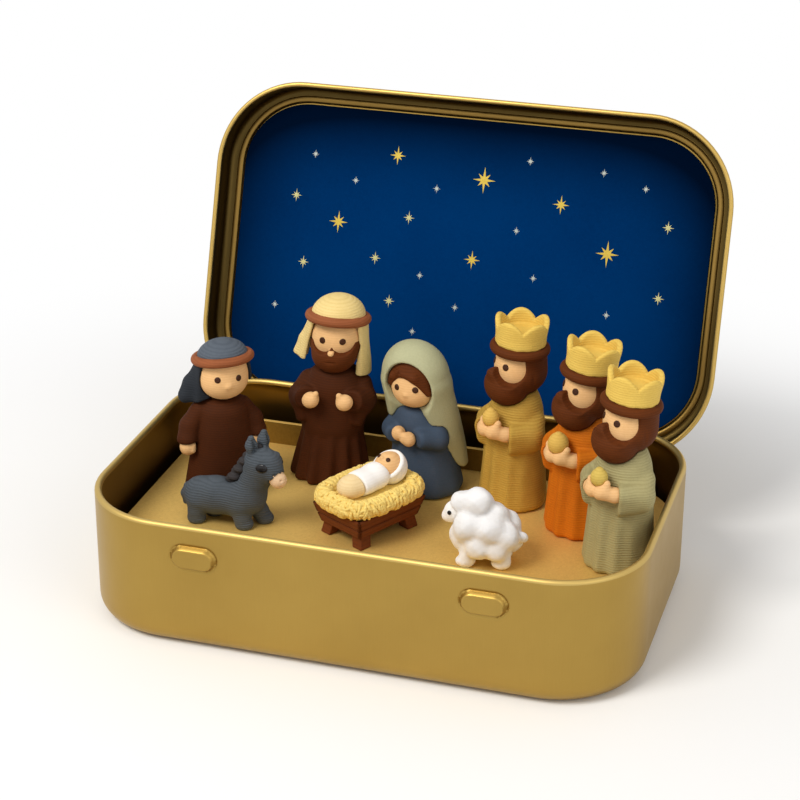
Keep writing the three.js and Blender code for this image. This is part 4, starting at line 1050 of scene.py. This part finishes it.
def painted(made, finish, crease=None):
    """Gives each face its finish, and keeps edges sharper than the crease angle crisp."""
    for polygon, index in zip(made.data.polygons, finish):
        polygon.material_index = index
    if crease:
        made.data.set_sharp_from_angle(angle=math.radians(crease))


def tin_base():
    """The drawn pan with its rolled rim, pressed snaps and hinge slots."""
    outside, inside, rim = range(3)
    slot_half = TAB_WIDTH / 2 + SLOT_PLAY
    edges = [side * HINGE_X + end * slot_half for side in SIDES for end in SIDES]
    detail = sorted(set(np.round(np.concatenate([np.arange(-31.6, 31.7, 0.2), edges]), 3)))
    slot = [HINGE_Z + s for s in (-SLOT_REACH, -BAR_HALF, BAR_HALF, SLOT_REACH)]
    wall = [np.arange(14.2, 19.8, 0.2), slot, np.linspace(BOTTOM_RADIUS, 14, 5), (20.4,)]
    levels = sorted(set(np.round(np.concatenate(wall), 3)))
    outer = [(-8, 0.0), (-4.2, 0.0)] + arc(-BOTTOM_RADIUS, BOTTOM_RADIUS, BOTTOM_RADIUS, -90, 0, 10)[:-1]
    below = len(outer)
    outer += [(0, z) for z in levels]
    roll = arc(-RIM_ROLL, BASE_HEIGHT - RIM_ROLL, RIM_ROLL, 0, 262, 16)
    inner = [(-SHEET, z) for z in reversed(levels)]
    inner += arc(-BOTTOM_RADIUS, BOTTOM_RADIUS, BOTTOM_RADIUS - SHEET, 0, -90, 8)[1:] + [(-8, SHEET)]
    verts, faces, count = drawn(outer + roll + inner, detail)
    front = np.abs(verts[:, 1] + BASE_DEPTH / 2) < SHEET + 0.02
    flat = front & (verts[:, 2] > 13) & (verts[:, 2] < 20.6) & (np.abs(verts[:, 0]) < 31.8)
    verts[flat, 1] -= pressed(verts[flat, 0], verts[flat, 2])
    past_roll = len(outer) + len(roll) + len(levels) - 1
    rings = {level: (below + i, past_roll - i) for i, level in enumerate(levels)}
    column = lambda x: int(np.argmin(np.abs(verts[:count, 0] - x) + 100 * (verts[:count, 1] < 0)))
    quad = lambda *spots: tuple(row * count + j for row, j in spots)
    for low, top in (slot[:2], slot[2:]):
        (o0, i0), (o1, i1) = rings[round(low, 3)], rings[round(top, 3)]
        for side in SIDES:
            c0, c1 = column(side * HINGE_X + slot_half), column(side * HINGE_X - slot_half)
            for j in range(c0, c1):
                for i in (*range(o0, o1), *range(i1, i0)):
                    faces.pop((i, j), None)
            for key, o, n, way in (("low", o0, i0, 1), ("top", o1, i1, -1)):
                for j in range(c0, c1):
                    faces[(key, low, side, j)] = quad((o, j), (o, j + 1), (n, j + 1), (n, j))[::way]
            for key, j, way in (("start", c0, 1), ("end", c1, -1)):
                for o, n in zip(range(o0, o1), range(i0, i1, -1)):
                    faces[(key, low, side, o)] = quad((o, j), (n, j), (n - 1, j), (o + 1, j))[::way]
    # Faces inside the pan take the darker finish, painted shade
    finish = []
    for key in faces:
        past = -1 if isinstance(key[0], str) else key[0] - len(outer)
        # The rolled rim's faces take the lighter finish, a painted highlight
        finish.append(inside if past >= len(roll) - 1 else rim if 0 <= past < len(roll) - 5 else outside)
    made = piece("tin_base_shell", verts, capped(verts, faces, count), [TIN, TIN_INSIDE_PAINTED_SHADE, TIN_RIM_HIGHLIGHT], "tin",
                 None, "tin_base", "gold_tin")
    painted(made, finish + [outside, inside], 50)


def opened():
    """The lid's place, turned about its hinge from closed to the open stop."""
    hinge = Vector((0, HINGE_Y * MM, HINGE_Z * MM))
    turn = Matrix.Rotation(math.radians(-LID_OPEN), 4, "X")
    return Matrix.Translation(hinge) @ turn @ Matrix.Translation(-hinge), 0.0


def tin_lid():
    """The shallow pan with its stepped panel, border ridge, curled bead and two hinge tabs."""
    plain, painted_shade_skirt, bead_highlight, painted_shade_dim = range(4)
    a, inner, raised = LID_CLEARANCE, PANEL_Z - LID_FILLET, PANEL_Z + LID_STEP
    border, step = a - LID_BORDER, a - LID_BORDER - LID_STEP_RUN
    section = [(-12, raised), (step, raised), (border, PANEL_Z)]
    section += [(out, PANEL_Z + (z - PANEL_Z) * RIDGE_FLAT)
                for out, z in arc(border + LID_RIDGE, PANEL_Z, LID_RIDGE, 180, 360, 9)[1:]]
    ridge = len(section)
    section += arc(a - LID_FILLET, inner, LID_FILLET, 90, 0, FILLET_STEPS)
    section += arc(a + LID_BEAD, SKIRT_EDGE_Z + LID_BEAD, LID_BEAD, 180, 470, BEAD_STEPS)
    section += arc(a - LID_FILLET, inner, LID_FILLET + SHEET, 0, 90, FILLET_STEPS)
    section += [(border, PANEL_Z + SHEET), (step, raised + SHEET), (-12, raised + SHEET)]
    verts, faces, count = drawn(section, [])
    skirt_end = ridge + FILLET_STEPS
    # The border ridge's faces take the dimmer finish as painted shade
    bands = ((2, ridge, painted_shade_dim), (ridge, skirt_end, painted_shade_skirt), (skirt_end, skirt_end + BEAD_STEPS - 1, bead_highlight))
    # The inner skirt's faces take the darkest finish as painted shade
    finish = [next((index for low, top, index in bands if low <= i < top), plain) for i, _ in faces]
    faces = capped(verts, faces, count)
    verts = verts.tolist()
    edge = SKIRT_EDGE_Z - HINGE_Z + 0.3
    bend = np.radians(np.linspace(0, 230, 19))
    curl = [(CURL_INNER, edge)] + [(CURL_INNER * math.cos(t), -CURL_INNER * math.sin(t)) for t in bend]
    curl += [(CURL_OUTER * math.cos(t), -CURL_OUTER * math.sin(t)) for t in bend[::-1]] + [(CURL_OUTER, edge)]
    n = len(curl)
    for side in SIDES:
        first = len(verts)
        for x in (side * HINGE_X - TAB_WIDTH / 2, side * HINGE_X + TAB_WIDTH / 2):
            verts += [(x, HINGE_Y + y, HINGE_Z + z) for y, z in curl]
        for i in range(n):
            k = (i + 1) % n
            faces.append((first + i, first + n + i, first + n + k, first + k))
        for i in range(n // 2 - 1):
            faces.append((first + i, first + i + 1, first + n - 2 - i, first + n - 1 - i))
            faces.append((first + n + i, first + 2 * n - 1 - i, first + 2 * n - 2 - i, first + n + i + 1))
    # The bead's lighter finish is a painted highlight
    made = piece("tin_lid_shell", verts, faces, [TIN, TIN_SKIRT_PAINTED_SHADE, TIN_BEAD_HIGHLIGHT, TIN_PAINTED_SHADE_DIM], "lid", opened(),
                 "tin_lid", "gold_tin")
    painted(made, finish, 50)


# A star's reach and the places on the closed lid of all stars of that reach, in millimetres
STARS = {
    0.72: [(-30.5, -17.7), (-22.3, -13.6), (-6.8, -13.6), (10.1, -20.2), (23.7, -19.4), (31.5, -17.3),
           (8.8, -7.5), (-8.4, 2.5), (12.8, 0.7), (-35.8, 10.9), (-1.2, 7.6), (-8.8, 12.9), (26.8, 5.8)],
    1.1: [(-33.5, -9.8), (-11.5, -7.8), (36.2, -10.9), (-31.0, 2.4), (-17.2, 0.2), (35.8, 1.8), (-13.8, 7.8)],
    1.55: [(-14.7, -18.9), (16.5, -13.0), (1.1, -1.4)],
    1.85: [(-24.9, -5.7)],
    2.15: [(1.9, -16.0), (25.8, -5.1)],
}


def sky_card():
    """The navy card in the lid, and its stars."""
    edge = 0.05
    section = [(-SKY_INSET - edge, SKY_FRONT), (-SKY_INSET, SKY_FRONT + edge), (-SKY_INSET, SKY_FRONT + CARD)]
    verts, faces, count = drawn(section, [])
    made = piece("sky_card_face", verts, capped(verts, faces, count), NAVY, "lid", opened(), "sky_card",
                 "navy_card")
    painted(made, [], 30)
    stars("sky_stars", STAR_GOLD, (1.55, 1.85, 2.15))
    stars("sky_middle_stars", STAR_LIGHT, (1.1,))
    stars("sky_small_stars", STAR_PALE, (0.72,))


def stars(label, finish, sizes):
    """Thin closed stars on the sky: four long and four short rays round a raised middle."""
    verts, faces = [], []
    for size, (x, y) in [(size, place) for size in sizes for place in STARS[size]]:
        first = len(verts)
        verts.append((x, y, SKY_FRONT - 0.05))
        for i in range(2 * STAR_RIM):
            reach = size * (1.0 if i % 4 == 0 else STAR_SHORT if i % 2 == 0 else STAR_NOTCH)
            reach *= STAR_UPRIGHT if i % 8 == 0 else 1.0
            angle = i * math.pi / 8 + math.pi / 2
            z = SKY_FRONT + (0.1 if i >= STAR_RIM else -0.02)
            verts.append((x + reach * math.cos(angle), y + reach * math.sin(angle), z))
        for i in range(first + 1, first + STAR_RIM + 1):
            k = i + 1 if i < first + STAR_RIM else first + 1
            faces += [(first, k, i), (i, k, k + STAR_RIM, i + STAR_RIM)]
        faces.append(tuple(range(first + STAR_RIM + 1, first + 2 * STAR_RIM + 1)))
    piece(label, verts, faces, finish, "lid", opened(), None, "gold_card", smooth=False)


def floor_card():
    """The folded stage: top, upstand and flaps with soft folds; its cut edges show the board."""
    face, cut, painted_shade_dim = range(3)
    t, under = FLOOR_THICK, FLOOR_TOP - FLOOR_THICK
    cx, cy, radius = BASE_WIDTH / 2 - PLAN_RADIUS, BASE_DEPTH / 2 - PLAN_RADIUS, PLAN_RADIUS - FLOOR_INSET
    outline = plan(-FLOOR_INSET, [])
    outline = outline[outline[:, 1] < FLOOR_BACK - 0.01]
    reach = cx + math.sqrt(radius**2 - (FLOOR_BACK - cy) ** 2)
    order = np.argsort(np.arctan2(outline[:, 0], -outline[:, 1]))
    outline = np.vstack([outline[order], [(reach, FLOOR_BACK), (-reach, FLOOR_BACK)]])
    count = len(outline)
    verts = [(x, y, z) for z in (FLOOR_TOP, under) for x, y in outline]
    faces = [tuple(range(count)), tuple(range(2 * count - 1, count - 1, -1))]
    faces += [(i, i + count, (i + 1) % count + count, (i + 1) % count) for i in range(count)]
    finish = [face, face] + [cut] * count
    side, front = cx + radius, cy + radius
    boxes = [
        (-UPSTAND_HALF, UPSTAND_HALF, FLOOR_BACK - t, FLOOR_BACK, under, FLOOR_TOP + UPSTAND_HEIGHT),
        (-side, -side + t, -SIDE_FLAP_HALF, SIDE_FLAP_HALF, FLAP_LOW, under),
        (side - t, side, -SIDE_FLAP_HALF, SIDE_FLAP_HALF, FLAP_LOW, under),
        (-FRONT_FLAP_HALF, FRONT_FLAP_HALF, -front, -front + t, FLAP_LOW, under),
    ]
    for box, (x0, x1, y0, y1, z0, z1) in enumerate(boxes):
        first = len(verts)
        verts += [(x, y, z) for z in (z0, z1) for x, y in ((x0, y0), (x1, y0), (x1, y1), (x0, y1))]
        for quad in BOX:
            faces.append(tuple(first + i for i in quad))
            # The upstand's faces take the darker card as painted shade
            finish.append(painted_shade_dim if box == 0 and quad[0] != 4 else face)
    made = piece("floor_card_stage", verts, faces, [GOLD_CARD, CUT_EDGE, CARD_PAINTED_SHADE], "tin", None,
                 "floor_card", "gold_card", smooth=False)
    painted(made, finish)
    bevel = made.modifiers.new("fold", "BEVEL")
    bevel.width, bevel.segments, bevel.limit_method = 0.12 * MM, 2, "ANGLE"


# Studio

def lamp(name, place, size, power, colour):
    """A round lamp aimed at the tin."""
    data = bpy.data.lights.new(name, "AREA")
    data.shape, data.size, data.energy, data.color = "DISK", size, power, colour
    made = bpy.data.objects.new(name, data)
    bpy.context.scene.collection.objects.link(made)
    made.location = place
    made.rotation_euler = (Vector((0, 0, 0.02)) - Vector(place)).to_track_quat("-Z", "Y").to_euler()


def studio():
    """The camera, the white surround, two lamps and the pale floor."""
    scene = bpy.context.scene
    scene.view_settings.view_transform = "Standard"
    azimuth, height, roll = (math.radians(a) for a in CAMERA_ANGLES)
    away = math.cos(height)
    back = Vector((math.sin(azimuth) * away, -math.cos(azimuth) * away, math.sin(height)))
    right = Vector((math.cos(azimuth), math.sin(azimuth), 0))
    up = back.cross(right)
    target = Vector((0, 0, AIM_HEIGHT * MM)) + right * AIM_RIGHT * MM + up * AIM_UP * MM
    level, rise = right * math.cos(roll) + up * math.sin(roll), up * math.cos(roll) - right * math.sin(roll)
    lens = bpy.data.cameras.new("camera")
    lens.lens, lens.sensor_width = 98.43, 36
    lens.shift_x, lens.shift_y = -0.0032, -0.0374
    lens.clip_start, lens.clip_end = 0.02, 20
    camera = bpy.data.objects.new("camera", lens)
    scene.collection.objects.link(camera)
    turn = Matrix((level, rise, back)).transposed().to_4x4()
    camera.matrix_world = Matrix.Translation(target + back * CAMERA_DISTANCE * MM) @ turn
    scene.camera = camera

    world = bpy.data.worlds.new("studio")
    scene.world = world
    world.use_nodes = True
    tree = world.node_tree
    sky = tree.nodes["Background"].inputs
    sky["Color"].default_value = (1, 1, 1, 1)
    tree.links.new(sums(tree, "MULTIPLY_ADD", seen_rays(tree), 0.45, 0.55), sky["Strength"])
    lamp("key", (-0.28, -0.42, 0.62), 0.35, 4.2, (1.0, 0.97, 0.92))
    lamp("fill", (0.5, -0.3, 0.35), 0.5, 0.7, (1.0, 0.98, 0.96))

    size = 3.0
    mesh = bpy.data.meshes.new("floor")
    corners = [(-size, -size, 0), (size, -size, 0), (size, size, 0), (-size, size, 0)]
    mesh.from_pydata(corners, [], [(0, 1, 2, 3)])
    floor = bpy.data.objects.new("floor", mesh)
    scene.collection.objects.link(floor)
    floor.location.z = -0.00002
    material, tree, shader = finish_of("pale_floor")
    shader.inputs["Base Color"].default_value = (0.9, 0.9, 0.9, 1)
    shader.inputs["Roughness"].default_value = 0.9
    place = add(tree, "TexCoord").outputs["Object"]
    far = add(tree, "VectorMath", {0: place}, operation="LENGTH").outputs["Value"]
    share = add(tree, "MapRange", {0: far, 1: 0.07, 2: 0.16}, interpolation_type="SMOOTHSTEP").outputs[0]
    share = sums(tree, "MULTIPLY", share, seen_rays(tree))
    white = add(tree, "Emission", {"Color": (1, 1, 1, 1), "Strength": 1.0}).outputs[0]
    mix = add(tree, "MixShader", {0: share, 1: shader.outputs[0], 2: white})
    tree.links.new(mix.outputs[0], tree.nodes["Material Output"].inputs["Surface"])
    mesh.materials.append(material)


studio()
tin_base()
tin_lid()
sky_card()
floor_card()
shepherd()
father()
mother()
manger()
donkey()
sheep()
king("king_one", MUSTARD, "mustard", GIFT)
king("king_two", ORANGE, "orange", GIFT)
king("king_three", SAGE_ROBE, "sage_robe", GIFT_YELLOW)
